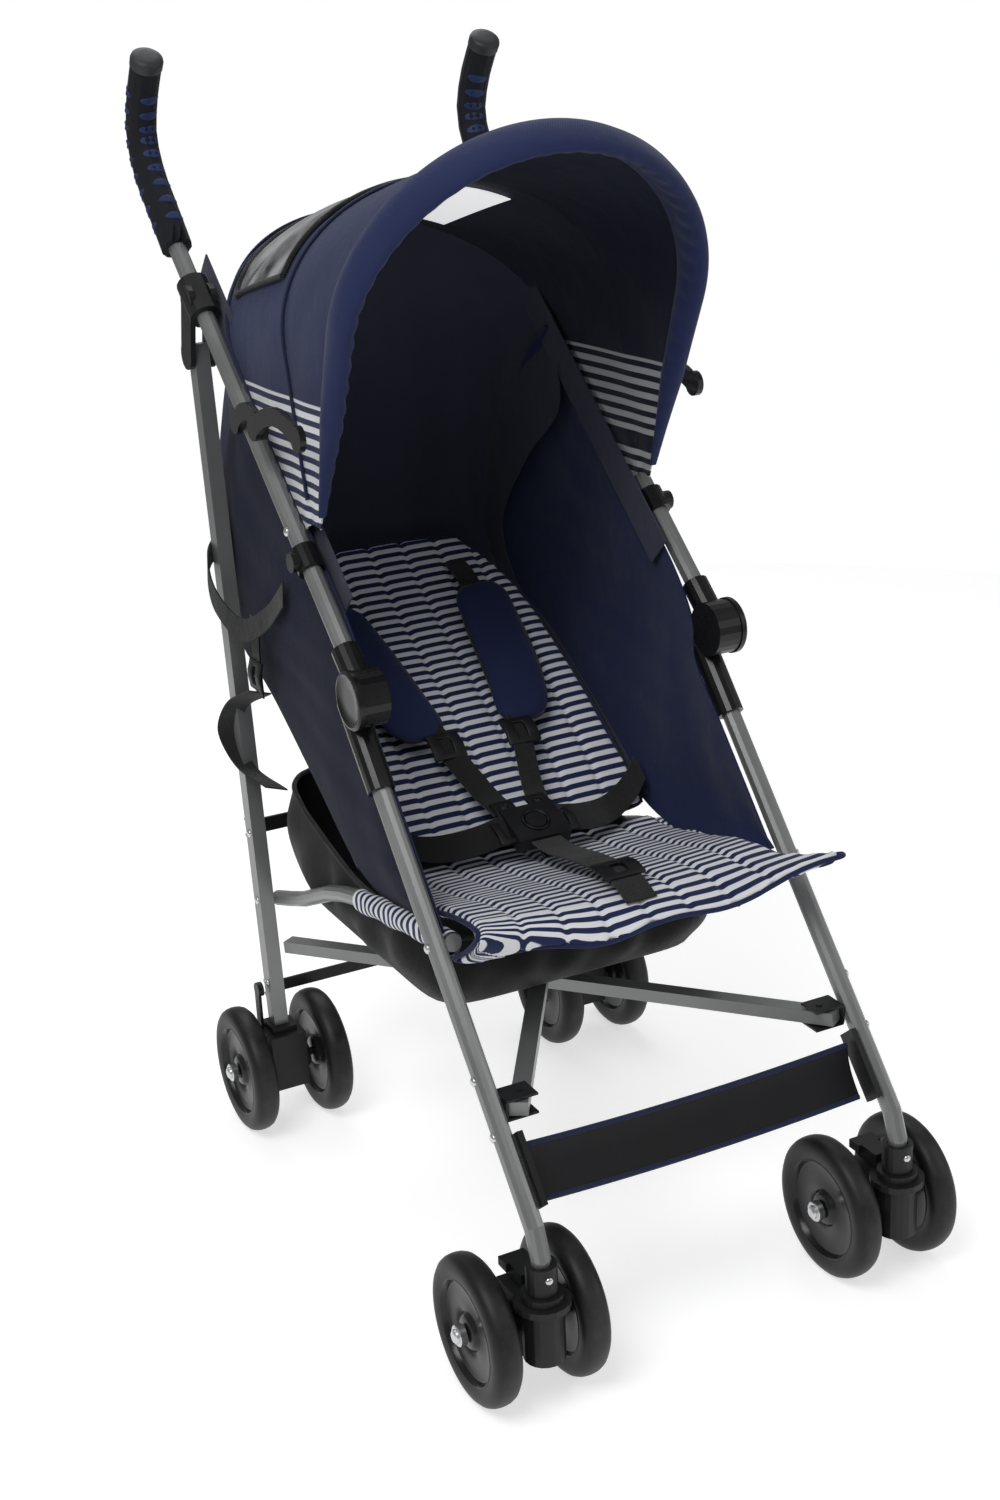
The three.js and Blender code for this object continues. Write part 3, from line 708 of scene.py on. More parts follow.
def piping(name, points, radius, body, material=None):
    """A round sewn edge or wire along a path."""
    deselect()
    bpy.ops.curve.primitive_bezier_curve_add(location=(0, 0, 0))
    line = bpy.context.object
    line.name = name
    line.data.dimensions = "3D"
    spline = line.data.splines[0]
    spline.bezier_points.add(len(points) - 2)
    for spot, point in zip(spline.bezier_points, points):
        spot.co = point
        spot.handle_left_type = spot.handle_right_type = "AUTO"
    line.data.resolution_u = 6
    line.data.bevel_depth = radius
    line.data.bevel_resolution = 2
    line.data.use_fill_caps = True
    bpy.ops.object.convert(target="MESH")
    piece = bpy.context.object
    smooth(piece, 60)
    return dress(piece, material or piping_cloth, body)


print("sewing tools ready")

# %% [markdown]
# ## Canopy
# The canopy is a fan: one arch outline turned about the side pivots. Its cloth is stretched straight from the
# front bow to the rear one, so the reach is least half-way. The front edge is a fat padded roll.

# %% Canopy outline
CANOPY_HALF = 0.168
CANOPY_SIDE = 0.222
CANOPY_TOP = 0.384
CANOPY_FOOT = 0.030
FRONT_ANGLE, JOIN_ANGLE, REAR_ANGLE = -21.5, 12.0, 47.0
SIDE_SHARE = 0.21


def tautness(angle):
    """How much of the full reach is left where the cloth runs straight from bow to bow."""
    half = math.radians((REAR_ANGLE - FRONT_ANGLE) / 2)
    away = math.radians(min(max(angle, FRONT_ANGLE), REAR_ANGLE) - (REAR_ANGLE + FRONT_ANGLE) / 2)
    return math.cos(half) / math.cos(away)


def canopy_point(angle, share, grow=0.0):
    """A point of the canopy: angle about the pivots in degrees, share from the left foot to the right one."""
    taut = tautness(angle)
    side = CANOPY_SIDE * taut
    if share < SIDE_SHARE:
        across, reach = -1.0, CANOPY_FOOT + (side - CANOPY_FOOT) * share / SIDE_SHARE
    elif share > 1 - SIDE_SHARE:
        across, reach = 1.0, CANOPY_FOOT + (side - CANOPY_FOOT) * (1 - share) / SIDE_SHARE
    else:
        turn = math.pi * (1 - (share - SIDE_SHARE) / (1 - 2 * SIDE_SHARE))
        across, reach = math.cos(turn), side + (CANOPY_TOP * taut - side + grow) * math.sin(turn)
    lean = math.radians(angle)
    return PIVOT + Vector((across * (CANOPY_HALF + grow), reach * math.sin(lean), reach * math.cos(lean)))


PANEL_FLAT = (0.92, 0.19)
SWELL = 0.002


def between_bows(u, v):
    """How far the cloth swells between two bows, as a share."""
    return math.sin(math.pi * v) * math.sin(math.pi * u) ** 2


def canopy_sheet(name, start, stop, node, body):
    """One panel of the canopy between two bows."""
    def place(u, v):
        ripple = 0.0012 * math.sin(37 * u + 3 * v) * math.sin(math.pi * v)
        return canopy_point(start + (stop - start) * v, u, ripple + SWELL * between_bows(u, v))

    piece = cloth_grid(name, 90, 26, PANEL_FLAT, place)
    thicken(piece, 0.0014, offset=-1)
    dress(piece, canopy_stripes, body)
    # Inward faces take the darker copy: painted shade inside the canopy.
    paint_shade_inside(piece, canopy_inside_painted_shade, lambda face: face.normal.dot(face.center - PIVOT) < 0)
    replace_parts(piece, node)
    fold_with_frame(piece)
    return piece


front_panel = canopy_sheet("canopy_front_panel", FRONT_ANGLE, JOIN_ANGLE + 1.0, "canopy_front", "canopy_bow")
rear_panel = canopy_sheet("canopy_rear_panel", JOIN_ANGLE, REAR_ANGLE, "canopy_rear", "sling")
print("canopy panels:", len(front_panel.data.vertices), len(rear_panel.data.vertices), "points")

# %% Canopy front roll
ROLL_WIDTH = 0.025
ROLL_HEIGHT = 0.010


def front_roll():
    """The padded roll round the canopy's front edge, slightly gathered on its inner side."""
    def place(u, v):
        share = 0.015 + 0.97 * v
        taper = min(1.0, 0.35 + 6.0 * min(v, 1 - v))
        turn = 2 * math.pi * u
        gather = 1 + 0.14 * math.sin(2 * math.pi * 42 * v) * max(0.0, math.cos(turn - 1.25 * math.pi)) ** 3
        angle = FRONT_ANGLE - 1.0 + math.degrees(ROLL_WIDTH * taper * math.cos(turn) / 0.32)
        return canopy_point(angle, share, ROLL_HEIGHT * taper * gather * math.sin(turn))

    piece = cloth_grid("canopy_front_roll", 20, 220, (0.1, 0.9), place)
    close_mesh(piece, 0.0004)
    smooth(piece, 60)
    dress(piece, navy_bright, "canopy_bow")
    fold_with_frame(piece)
    return piece


front_roll()


def canopy_piping(name, angle, body, grow=0.002, low=0.03):
    """A sewn line over the canopy at one angle."""
    shares = [low + (1 - 2 * low) * i / 36 for i in range(37)]
    piece = piping(name, [canopy_point(angle, share, grow) for share in shares], 0.0017, body)
    fold_with_frame(piece)
    return piece


canopy_piping("canopy_join_piping", JOIN_ANGLE, "sling")
canopy_piping("canopy_rear_piping", REAR_ANGLE, "sling")
canopy_piping("canopy_front_piping", FRONT_ANGLE + 4.4, "canopy_bow", 0.001)
print("canopy roll and piping done")

# %% [markdown]
# ## Padded liner
# The seat mat and the back mat are quilted. Each starts as a flat slab, is remeshed into small cells, and is
# inflated by a cloth simulation while its seams are held. The puffs between the seams come from that.

# %% Quilting tools
PAD_CELL = 0.005
CHANNEL = 0.037
SEAM_REACH = 0.0032
PAD_STEPS = 20


def quilt(piece, held, cap):
    """Inflate a closed slab while its held points stay where they are."""
    apply_modifier(piece, "REMESH", mode="VOXEL", voxel_size=PAD_CELL, use_smooth_shade=True)
    rest = [vertex.co.copy() for vertex in piece.data.vertices]
    sewn = piece.vertex_groups.new(name="sewn")
    sewn.add([vertex.index for vertex in piece.data.vertices if held(vertex.co)], 1.0, "REPLACE")
    cloth = piece.modifiers.new("Cloth", "CLOTH")
    cloth.settings.quality = 4
    cloth.settings.use_pressure = True
    cloth.settings.uniform_pressure_force = 4
    cloth.settings.vertex_group_mass = sewn.name
    cloth.settings.effector_weights.gravity = 0
    for step in range(1, PAD_STEPS + 1):
        bpy.context.scene.frame_set(step)
    puffed = piece.evaluated_get(bpy.context.evaluated_depsgraph_get()).data
    moved = [vertex.co.copy() for vertex in puffed.vertices]
    piece.modifiers.remove(cloth)
    bpy.context.scene.frame_set(1)
    for vertex, start, end in zip(piece.data.vertices, rest, moved):
        shift = end - start
        vertex.co = start + shift * min(1.0, cap / max(shift.length, 1e-9))
    piece.vertex_groups.clear()
    return apply_modifier(piece, "SUBSURF", levels=1, render_levels=1)


def stitch(piece, seams, depth):
    """Draw the cloth in along each seam, where X is the seam's place, on both faces."""
    normals = [vertex.normal.copy() for vertex in piece.data.vertices]
    for vertex, normal in zip(piece.data.vertices, normals):
        away = min(abs(vertex.co.x - seam) for seam in seams)
        vertex.co -= normal * depth * math.exp(-(away / SEAM_REACH) ** 2) * (1 - abs(normal.x))
    return piece


def distance_along(line, y, z):
    """How far along a side-view line a point lies."""
    best, travelled, found = 1e9, 0.0, 0.0
    last = len(line) - 2
    for index, ((y0, z0), (y1, z1)) in enumerate(zip(line, line[1:])):
        step = math.hypot(y1 - y0, z1 - z0)
        share = ((y - y0) * (y1 - y0) + (z - z0) * (z1 - z0)) / step ** 2
        share = share if index == 0 else max(share, 0.0)
        share = share if index == last else min(share, 1.0)
        off = math.hypot(y - y0 - share * (y1 - y0), z - z0 - share * (z1 - z0))
        if off < best:
            best, found = off, travelled + share * step
        travelled += step
    return found


def map_along(piece, line, shift):
    """A UV map in metres: across the stroller, and along a side-view line once the mat's shift is undone."""
    layer = piece.data.uv_layers.active or piece.data.uv_layers.new(name="UVMap")
    length = sum(math.dist(a, b) for a, b in zip(line, line[1:]))
    spots = []
    for vertex in piece.data.vertices:
        far = distance_along(line, vertex.co.y, vertex.co.z)
        for _ in range(3):
            back, lift = shift(vertex.co.x, min(max(far / length, 0.0), 1.0))
            far = distance_along(line, vertex.co.y - back, vertex.co.z - lift)
        spots.append((vertex.co.x, far))
    for loop in piece.data.loops:
        layer.data[loop.index].uv = spots[loop.vertex_index]
    return piece


def side_path(line):
    """A smooth rule from 0 to 1 through side-view points; it gives a point with X zero."""
    return along_path([(0.0, y, z) for y, z in line])


SEAMS = [CHANNEL * step for step in range(-3, 4)]
print("seams at", [round(seam, 3) for seam in SEAMS])

# %% Seat mat
SEAT_LINE = [
    (-0.253, 0.350), (-0.222, 0.366), (-0.170, 0.362), (-0.110, 0.346), (-0.040, 0.331), (-0.004, 0.330),
]
SEAT_HALF = 0.149
MAT_THICKNESS = 0.011
seat_at = side_path(SEAT_LINE)


def seat_shift(across, v):
    """How far the mat lies back from its side line, and above it, by its place across from -1 to 1."""
    front = max(0.0, 1 - v / 0.22) ** 1.5
    tuck = 0.034 * max(0.0, (-across - 0.3) / 0.7) ** 1.6
    sag = 0.006 * (across ** 2 - 1) * math.sin(math.pi * min(1.0, 0.2 + v))
    wave = 0.0035 * math.sin(9.0 * across + 0.8) * front
    lift = front * (0.016 * across + 0.018 * across ** 2 * (across > 0)) + sag + wave
    return (tuck - 0.030 * across) * front, lift


def seat_point(u, v):
    """The seat mat: v runs from the front edge to the crease, and the right front corner stands up."""
    across = 2 * u - 1
    front = max(0.0, 1 - v / 0.22) ** 1.5
    flare = 0.027 if across > 0 else 0.007
    spot = seat_at(v)
    back, lift = seat_shift(across, v)
    return Vector((across * (SEAT_HALF + flare * front), spot.y + back, spot.z + lift))


def mat(name, place, shift, flat, line, cells, node, body):
    """A quilted striped mat with its sewn channels."""
    piece = cloth_grid(name, cells[0], cells[1], flat, place)
    apply_modifier(piece, "SOLIDIFY", thickness=MAT_THICKNESS, offset=0)
    half = flat[0] / 2

    def held(co):
        near_seam = min(abs(co.x - seam) for seam in SEAMS) < PAD_CELL * 0.55
        return near_seam or abs(co.x) > half - 0.006

    quilt(piece, held, 0.007)
    stitch(piece, SEAMS, 0.0028)
    map_along(piece, line, lambda x, v: shift(min(max(x / half, -1.0), 1.0), v))
    smooth(piece, 80)
    dress(piece, stripes_cloth, body)
    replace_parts(piece, node)
    fold_with_frame(piece)
    return piece


seat_mat = mat("seat_mat", seat_point, seat_shift, (0.298, 0.275), SEAT_LINE, (40, 36), "seat_pad", "sling")
print("seat mat:", len(seat_mat.data.vertices), "points")

# %% Back mat
BACK_LINE = [(0.010, 0.343), (0.060, 0.391), (0.120, 0.438), (0.200, 0.487), (0.258, 0.524), (0.312, 0.562)]
back_at = side_path(BACK_LINE)


def back_point(u, v):
    """The back mat: v runs from the crease to the top edge, which is narrower and rounded."""
    across = 2 * u - 1
    half = 0.147 - 0.010 * v - 0.034 * max(0.0, (v - 0.70) / 0.30) ** 1.6
    spot = back_at(v * (1 - 0.03 * across ** 4 * v))
    sag = 0.007 * (across ** 2 - 1) * math.sin(math.pi * v)
    return Vector((across * half, spot.y - 0.5 * sag, spot.z + 0.8 * sag))


def back_shift(across, v):
    """The back mat lies straight on its side line."""
    return 0.0, 0.0


back_cut, back_cells = (0.294, 0.360), (40, 46)
back_mat = mat("back_mat", back_point, back_shift, back_cut, BACK_LINE, back_cells, "backrest", "recliner")
print("back mat:", len(back_mat.data.vertices), "points")

# %% Mat piping
def edge_piping(name, place, body, radius=0.0024):
    """Navy piping round the free edges of a mat: up one side, across the end and down the other side."""
    steps = 16
    rim = [place(0, 1 - i / steps) for i in range(steps)]
    rim += [place(i / steps, 0) for i in range(steps)]
    rim += [place(1, i / steps) for i in range(steps + 1)]
    piece = piping(name, rim, radius, body, navy_cloth)
    fold_with_frame(piece)
    return piece


edge_piping("seat_mat_piping", seat_point, "sling")
edge_piping("back_mat_piping", lambda u, v: back_point(u, 1 - v), "recliner")

# %% [markdown]
# ## Sling body
# A wing of navy cloth on each side runs from the push tube and front leg back to the corner of the sling.
# Between the wings a dark shell closes the back, hung from the canopy's rear edge.

# %% Side wings
CORNER_LINE = [
    (0.187, 0.789), (0.238, 0.745), (0.292, 0.670), (0.330, 0.590), (0.332, 0.530),
    (0.282, 0.492), (0.208, 0.460), (0.110, 0.400), (0.020, 0.344),
]
WING_X = 0.1655
WING_FLAT = (0.30, 0.66)


def wing_front_edge():
    """Where a wing is fastened: down the push tube and on down the front leg."""
    points = [(push_tube_y(z), z) for z in (0.789, 0.740, 0.690, 0.640, 0.590)]
    points += [(-0.060, 0.545)]
    points += [(front_leg_y(z) + 0.004, z) for z in (0.505, 0.460, 0.410, 0.358)]
    return along_path([(0.0, y, z) for y, z in points])


def wing_rear_edge():
    """The loose side of a wing: the sling's corner, then forward along the side of the seat."""
    points = list(CORNER_LINE) + [(-0.060, 0.331), (-0.120, 0.340), (-0.176, 0.352)]
    return along_path([(0.0, y, z) for y, z in points])


def side_wing(name, sign, node, body):
    """One wing, billowed outwards between its edges."""
    front, rear = wing_front_edge(), wing_rear_edge()

    def place(u, v):
        spot = front(v).lerp(rear(v), u)
        folds = math.sin(13 * v + 5 * u) + 0.6 * math.sin(31 * v - 9 * u) + 0.35 * math.sin(57 * v + 21 * u)
        billow = 0.004 * math.sin(math.pi * u) + 0.0020 * folds * math.sin(math.pi * u)
        tuck = 0.011 * u ** 3
        return Vector((sign * (WING_X + billow - tuck), spot.y, spot.z))

    piece = cloth_grid(name, 36, 70, WING_FLAT, place)
    apply_modifier(piece, "SOLIDIFY", thickness=0.0016, offset=0)
    close_mesh(piece, 0.0001)
    smooth(piece, 60)
    dress(piece, navy_cloth, body)
    # The wing's inward faces take the darker navy: painted shade.
    paint_shade_inside(piece, navy_painted_shade, lambda face: face.normal.x * sign < 0)
    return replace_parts(piece, node)


for sign, side in BOTH_SIDES:
    side_wing(f"side_wing_{side}", sign, f"side_panel_{side}", f"frame_{side}")
print("wings hung")

# %% Back shell
CENTRE_LINE = [
    (0.313, 0.907), (0.327, 0.830), (0.336, 0.735), (0.346, 0.640), (0.346, 0.560),
    (0.300, 0.505), (0.212, 0.462), (0.112, 0.398), (0.020, 0.330),
]
LINING_LINE = [
    (0.184, 0.786), (0.168, 0.752), (0.170, 0.706), (0.238, 0.650), (0.300, 0.572),
    (0.275, 0.510), (0.200, 0.474), (0.100, 0.412), (0.010, 0.350),
]
LINING_SHARE = 0.10
SHELL_FLAT = (0.72, 0.76)
corner_at, centre_at, lining_at = side_path(CORNER_LINE), side_path(CENTRE_LINE), side_path(LINING_LINE)


def shell_point(u, v):
    """The back of the sling: the canopy's rear arch at the top, a shallow tray lower down."""
    half = CANOPY_HALF - 0.014 * min(1.0, v / 0.15)
    if u < LINING_SHARE or u > 1 - LINING_SHARE:
        share = min(u, 1 - u) / LINING_SHARE
        spot = lining_at(v).lerp(corner_at(v), share)
        return Vector((math.copysign(half + 0.002 * (1 - share), u - 0.5), spot.y, spot.z))
    turn = math.pi * (1 - (u - LINING_SHARE) / (1 - 2 * LINING_SHARE))
    round_power = 1.0 - 0.62 * min(1.0, v / 0.45)
    rise = max(math.sin(turn), 0.0) ** round_power
    spot = corner_at(v).lerp(centre_at(v), rise)
    folds = math.sin(9 * math.pi * u) + 0.7 * math.sin(41 * u + 12 * v) + 0.4 * math.sin(67 * u - 23 * v)
    ripple = 0.0022 * folds * math.sin(math.pi * v)
    return Vector((half * math.cos(turn), spot.y + ripple, spot.z))


def back_shell():
    """The sling's back: dark lining inside and navy cloth outside."""
    piece = cloth_grid("back_shell", 84, 90, SHELL_FLAT, shell_point)
    thicken(piece, 0.0016)
    dress(piece, dark_cloth, "sling")
    piece.data.materials.append(navy_cloth)
    inside = Vector((0, 0.05, 0.66))
    for face in piece.data.polygons:
        face.material_index = 1 if face.normal.dot(face.center - inside) > 0 else 0
    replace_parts(piece, "back_panel")
    return fold_with_frame(piece)


def tube_band(side, sign):
    """The dark facing sewn along the inside of a push tube."""
    line = [(sign * 0.1595, push_tube_y(z) + 0.004, z) for z in (0.600, 0.690, 0.780, 0.868)]
    band = strap(f"tube_band_{side}", line, 0.036, (0, 0.7, -0.7), f"frame_{side}", dark_cloth)
    return band


back_shell()
for sign, side in BOTH_SIDES:
    tube_band(side, sign)
print("back shell hung")

# %% Rear window
WINDOW_ANGLES = (17.5, 43.0)
WINDOW_SHARES = (0.30, 0.60)


def window_point(u, v, grow):
    low, high = WINDOW_ANGLES
    left, right = WINDOW_SHARES
    angle, share = low + (high - low) * v, left + (right - left) * u
    swell = SWELL * between_bows(share, (angle - JOIN_ANGLE) / (REAR_ANGLE - JOIN_ANGLE))
    return canopy_point(angle, share, grow + swell)


def rear_window():
    """A clear panel in the canopy's roof, bound in black, with a pale glowing face inside that is painted
    light shining through it.
    """
    def place(u, v):
        bulge = 0.002 * math.sin(math.pi * u) * math.sin(math.pi * v) + 0.0012 * math.sin(17 * u + 11 * v)
        return window_point(u, v, 0.0016 + bulge)

    piece = cloth_grid("rear_window", 40, 24, (0.24, 0.15), place)
    thicken(piece, 0.0008)
    dress(piece, window_film, "sling")
    fold_with_frame(piece)
    # The pale face inside is painted light coming through the film.
    inner = cloth_grid("rear_window_painted_light", 30, 18, (0.24, 0.15), lambda u, v: window_point(u, v, -0.0045))
    thicken(inner, 0.0008)
    dress(inner, window_painted_light, "sling")
    fold_with_frame(inner)
    rim = [(i / 10, 0) for i in range(10)] + [(1, i / 8) for i in range(8)]
    rim += [(1 - i / 10, 1) for i in range(10)] + [(0, 1 - i / 8) for i in range(9)]
    edge = [window_point(u, v, 0.003) for u, v in rim]
    trim = piping("rear_window_trim", edge, 0.0026, "sling", webbing)
    fold_with_frame(trim)


# Pale colour and glow that paint the light shining in through the window.
window_painted_light = plain_cloth("window painted light", (0.72, 0.73, 0.76), (0.88, 0.89, 0.91), 0.35, 0.0, 0.3)
window_painted_glow = window_painted_light.node_tree.nodes["Principled BSDF"]
window_painted_glow.inputs["Emission Color"].default_value = (1, 1, 1, 1)
window_painted_glow.inputs["Emission Strength"].default_value = 0.6
rear_window()
print("window fitted")

# %% [markdown]
# ## Basket and footrest
# The basket is one sagging shell of thin black cloth, and the footrest is a stiff band between two
# moulded ends.

# %% Basket
BASKET_HALF = 0.145
BASKET_FRONT, BASKET_REAR = -0.124, 0.230
BASKET_FLAT = (0.50, 0.58)
BASKET_FLOOR = 0.242


def basket_rim_z(y):
    """The rim is level under the seat and climbs to the rear bar."""
    return 0.314 + 0.052 * max(0.0, (y - 0.04) / (BASKET_REAR - 0.04)) ** 1.3


def basket_point(u, v):
    """The basket: u runs round it, v from the rim to the middle of the floor."""
    turn = 2 * math.pi * u
    square = (abs(math.cos(turn)) ** 9 + abs(math.sin(turn)) ** 9) ** (-1 / 9)
    inward = 1.0 if v < 0.5 else 1 - (v - 0.5) / 0.5
    middle = (BASKET_FRONT + BASKET_REAR) / 2
    x = BASKET_HALF * square * math.cos(turn)
    y = middle + (BASKET_REAR - BASKET_FRONT) / 2 * square * math.sin(turn)
    down = min(1.0, v / 0.5)
    belly = 0.008 * math.sin(math.pi * down) * (1 if v < 0.5 else 0)
    folds = math.sin(38 * math.pi * u + 4 * v) + 0.8 * math.sin(22 * math.pi * u - 9 * v)
    wrinkle = 0.0026 * folds * math.sin(math.pi * down)
    rim = basket_rim_z(y)
    z = rim + (BASKET_FLOOR + 0.004 - rim) * down ** 0.9
    taper = 1 - 0.05 * down ** 3
    sag = 0.008 * (1 - inward ** 2) if v >= 0.5 else 0.0
    grow = 1 + (belly + wrinkle) / 0.14
    return Vector((
        x * inward * taper * grow,
        middle + (y - middle) * inward * taper * grow,
        z - sag,
    ))


def make_basket():
    """The sagging shell and its sewn rim."""
    piece = cloth_grid("basket_cloth", 120, 40, BASKET_FLAT, basket_point)
    close_mesh(piece, 0.0002)
    thicken(piece, 0.0014)
    dress(piece, black_cloth, "sling")
    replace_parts(piece, "basket")
    fold_with_frame(piece)
    rim = [basket_point(i / 40, 0) for i in range(41)]
    trim = piping("basket_rim", rim, 0.0028, "sling", webbing)
    fold_with_frame(trim)


make_basket()
print("basket hung")

# %% Footrest
FOOT_HALF = 0.160
FOOT_FLAT = (0.32, 0.047)


def foot_point(u, v):
    """The footrest band, from its lower edge to its upper edge, sagging between its ends."""
    across = 2 * u - 1
    sag = 0.007 * (1 - across ** 2)
    y = -0.331 + 0.019 * v + 0.004 * math.sin(math.pi * v)
    z = 0.173 + 0.042 * v - sag
    return Vector((across * FOOT_HALF, y + 0.004 * (1 - across ** 2), z))


def make_footrest():
    """The band and its bound edges."""
    piece = cloth_grid("footrest_band", 60, 12, FOOT_FLAT, foot_point)
    thicken(piece, 0.0034)
    dress(piece, vinyl, "sling")
    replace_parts(piece, "footrest")
    fold_with_frame(piece)
    for name, v in (("low", 0.0), ("high", 1.0)):
        line = [foot_point(i / 24, v) for i in range(25)]
        trim = piping(f"footrest_binding_{name}", line, 0.0026, "sling", piping_cloth)
        fold_with_frame(trim)


make_footrest()
print("footrest fitted")

# %% [markdown]
# ## Harness
# Webbing straps run from the back mat through two padded shoulder sleeves to the buckle. The waist straps
# come in from the sides and the crotch strap from the front of the seat.


def over_back(t, x, lift):
    """A point above the back mat: t runs along it."""
    spot = back_at(t)
    return (x, spot.y - 0.55 * lift, spot.z + 0.83 * lift)


def shoulder_strap(side, sign):
    """Webbing from the back mat down to the buckle, over the recline hinge."""
    points = [
        over_back(0.88, sign * 0.084, 0.004), over_back(0.74, sign * 0.080, 0.018),
        over_back(0.52, sign * 0.068, 0.024), over_back(0.28, sign * 0.044, 0.028),
        (sign * 0.026, 0.010, 0.392), (sign * 0.018, -0.022, 0.378),
    ]
    at = along_path(points)
    piece = cloth_grid(
        f"shoulder_strap_{side}", 4, 60, (0.024, 0.3),
        lambda u, v: at(v) + Vector((1, sign * 0.25, 0.1)).normalized() * 0.024 * (u - 0.5),
    )
    thicken(piece, WEBBING_THICKNESS, crease=40)
    piece.data.materials.clear()
    piece.data.materials.append(webbing)
    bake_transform(piece)
    return at


def shoulder_pad(side, sign):
    """A soft sleeve round the strap, rounded at both ends, with a bound edge."""
    middle_line = ((0.72, 0.082), (0.58, 0.076), (0.42, 0.066), (0.28, 0.054))
    points = [over_back(t, sign * x, 0.025) for t, x in middle_line]
    at = along_path(points)

    def place(u, v):
        turn = 2 * math.pi * u
        end = min(1.0, (1 - (2 * v - 1) ** 8) ** 0.5)
        return at(v) + Vector((
            0.030 * end * math.copysign(abs(math.cos(turn)) ** 0.7, math.cos(turn)),
            -0.55 * 0.0075 * end * math.sin(turn),
            0.83 * 0.0075 * end * math.sin(turn),
        ))

    piece = cloth_grid(f"shoulder_pad_{side}", 36, 48, (0.12, 0.14), place)
    close_mesh(piece, 0.0001)
    smooth(piece, 70)
    dress(piece, navy_cloth, "recliner")
    rim = []
    for i in range(48):
        turn = 2 * math.pi * i / 48
        v = 0.5 + 0.485 * math.sin(turn)
        across = math.copysign(abs(math.cos(turn)) ** 0.35, math.cos(turn))
        rim.append(at(v) + Vector((0.0298 * across, 0, 0)))
    rim.append(rim[0])
    piping(f"shoulder_pad_trim_{side}", rim, 0.0019, "recliner", webbing)


def slider(name, place, tilt, width, body):
    """A ladder-lock buckle: a moulded frame with two bars and a gripping lip."""
    deselect()
    bpy.ops.mesh.primitive_grid_add(x_subdivisions=3, y_subdivisions=5, size=1, location=(0, 0, 0))
    piece = bpy.context.object
    piece.name = name
    bpy.ops.object.mode_set(mode="EDIT")
    bpy.ops.mesh.select_all(action="DESELECT")
    bpy.ops.object.mode_set(mode="OBJECT")
    for face in piece.data.polygons:
        middle_row = abs(face.center.x) < 0.2 and (abs(abs(face.center.y) - 0.2) < 0.05)
        face.select = middle_row
    bpy.ops.object.mode_set(mode="EDIT")
    bpy.ops.mesh.delete(type="FACE")
    bpy.ops.object.mode_set(mode="OBJECT")
    turn = Matrix.Rotation(math.radians(tilt), 4, "X")
    for vertex in piece.data.vertices:
        flat = Vector((vertex.co.x * width, vertex.co.y * 0.030, 0.0015 * math.cos(vertex.co.y * 6)))
        vertex.co = Vector(place) + turn @ flat
    apply_modifier(piece, "SOLIDIFY", thickness=0.0036, offset=0)
    apply_modifier(piece, "BEVEL", width=0.0011, segments=2, limit_method="ANGLE")
    smooth(piece, 50)
    return dress(piece, black_plastic, body)


def waist_strap(side, sign):
    """Webbing from the side of the seat to the buckle."""
    points = [
        (sign * 0.150, 0.016, 0.378), (sign * 0.128, 0.000, 0.366), (sign * 0.095, -0.018, 0.358),
        (sign * 0.060, -0.034, 0.363), (sign * 0.026, -0.040, 0.371),
    ]
    piece = strap(f"waist_strap_{side}", points, 0.028, (0, 0.75, 0.66), "sling")
    fold_with_frame(piece)


for sign, side in BOTH_SIDES:
    shoulder_strap(side, sign)
    shoulder_pad(side, sign)
    waist_strap(side, sign)
    slider(f"shoulder_slider_{side}", over_back(0.245, sign * 0.040, 0.031), 36, 0.034, "sling")
crotch = [(0, -0.236, 0.366), (0, -0.205, 0.377), (0, -0.150, 0.373), (0, -0.095, 0.363), (0, -0.060, 0.363)]
strap("crotch_strap", crotch, 0.030, (1, 0, 0), "sling")
slider("crotch_slider", (0, -0.196, 0.381), 4, 0.040, "sling")
print("harness threaded")


# %% [markdown]
# ## Hardware
# Wheels, bolts, rivets, end caps, clips and straps finish the frame. Turned pieces come from a side outline
# spun about an axis; the wheel is modelled once and copied.

# %% Turned pieces
def turned(name, outline, place, axis, steps=32):
    """Spin an outline of (height, radius) pairs about an axis that points out of the surface."""
    facing = Vector(axis).normalized().to_track_quat("Z", "Y").to_matrix()
    rows = len(outline) - 1

    def spot(u, v):
        height, radius = outline[min(rows, round(v * rows))]
        turn = 2 * math.pi * u
        return Vector(place) + facing @ Vector((radius * math.cos(turn), radius * math.sin(turn), height))

    piece = cloth_grid(name, steps, rows, (1, 1), spot)
    close_mesh(piece, 0.00002)
    return smooth(piece, 35)


def copy_to(piece, name, move, body, mirror=False):
    """A copy of a finished piece with its own mesh, shifted and perhaps turned left for right."""
    copy = piece.copy()
    copy.data = piece.data.copy()
    copy.name = name
    bpy.context.collection.objects.link(copy)
    change = Matrix.Translation(move) @ (Matrix.Scale(-1, 4, (1, 0, 0)) if mirror else Matrix.Identity(4))
    copy.parent = None
    copy.matrix_world = Matrix.Identity(4)
    copy.data.transform(change)
    if mirror:
        copy.data.flip_normals()
    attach(copy, body)
    return copy


def dome(radius, height):
    """Outline of a domed rivet head with a thin rim."""
    return [
        (-0.001, 0.0), (-0.001, radius), (height * 0.25, radius), (height * 0.55, radius * 0.88),
        (height * 0.85, radius * 0.6), (height, radius * 0.25), (height, 0.0),
    ]


def rivet(name, place, axis, body, radius=0.0042, height=0.0024, material=None):
    """One rivet head."""
    piece = turned(name, dome(radius, height), place, axis, 18)
    return dress(piece, material or zinc, body)


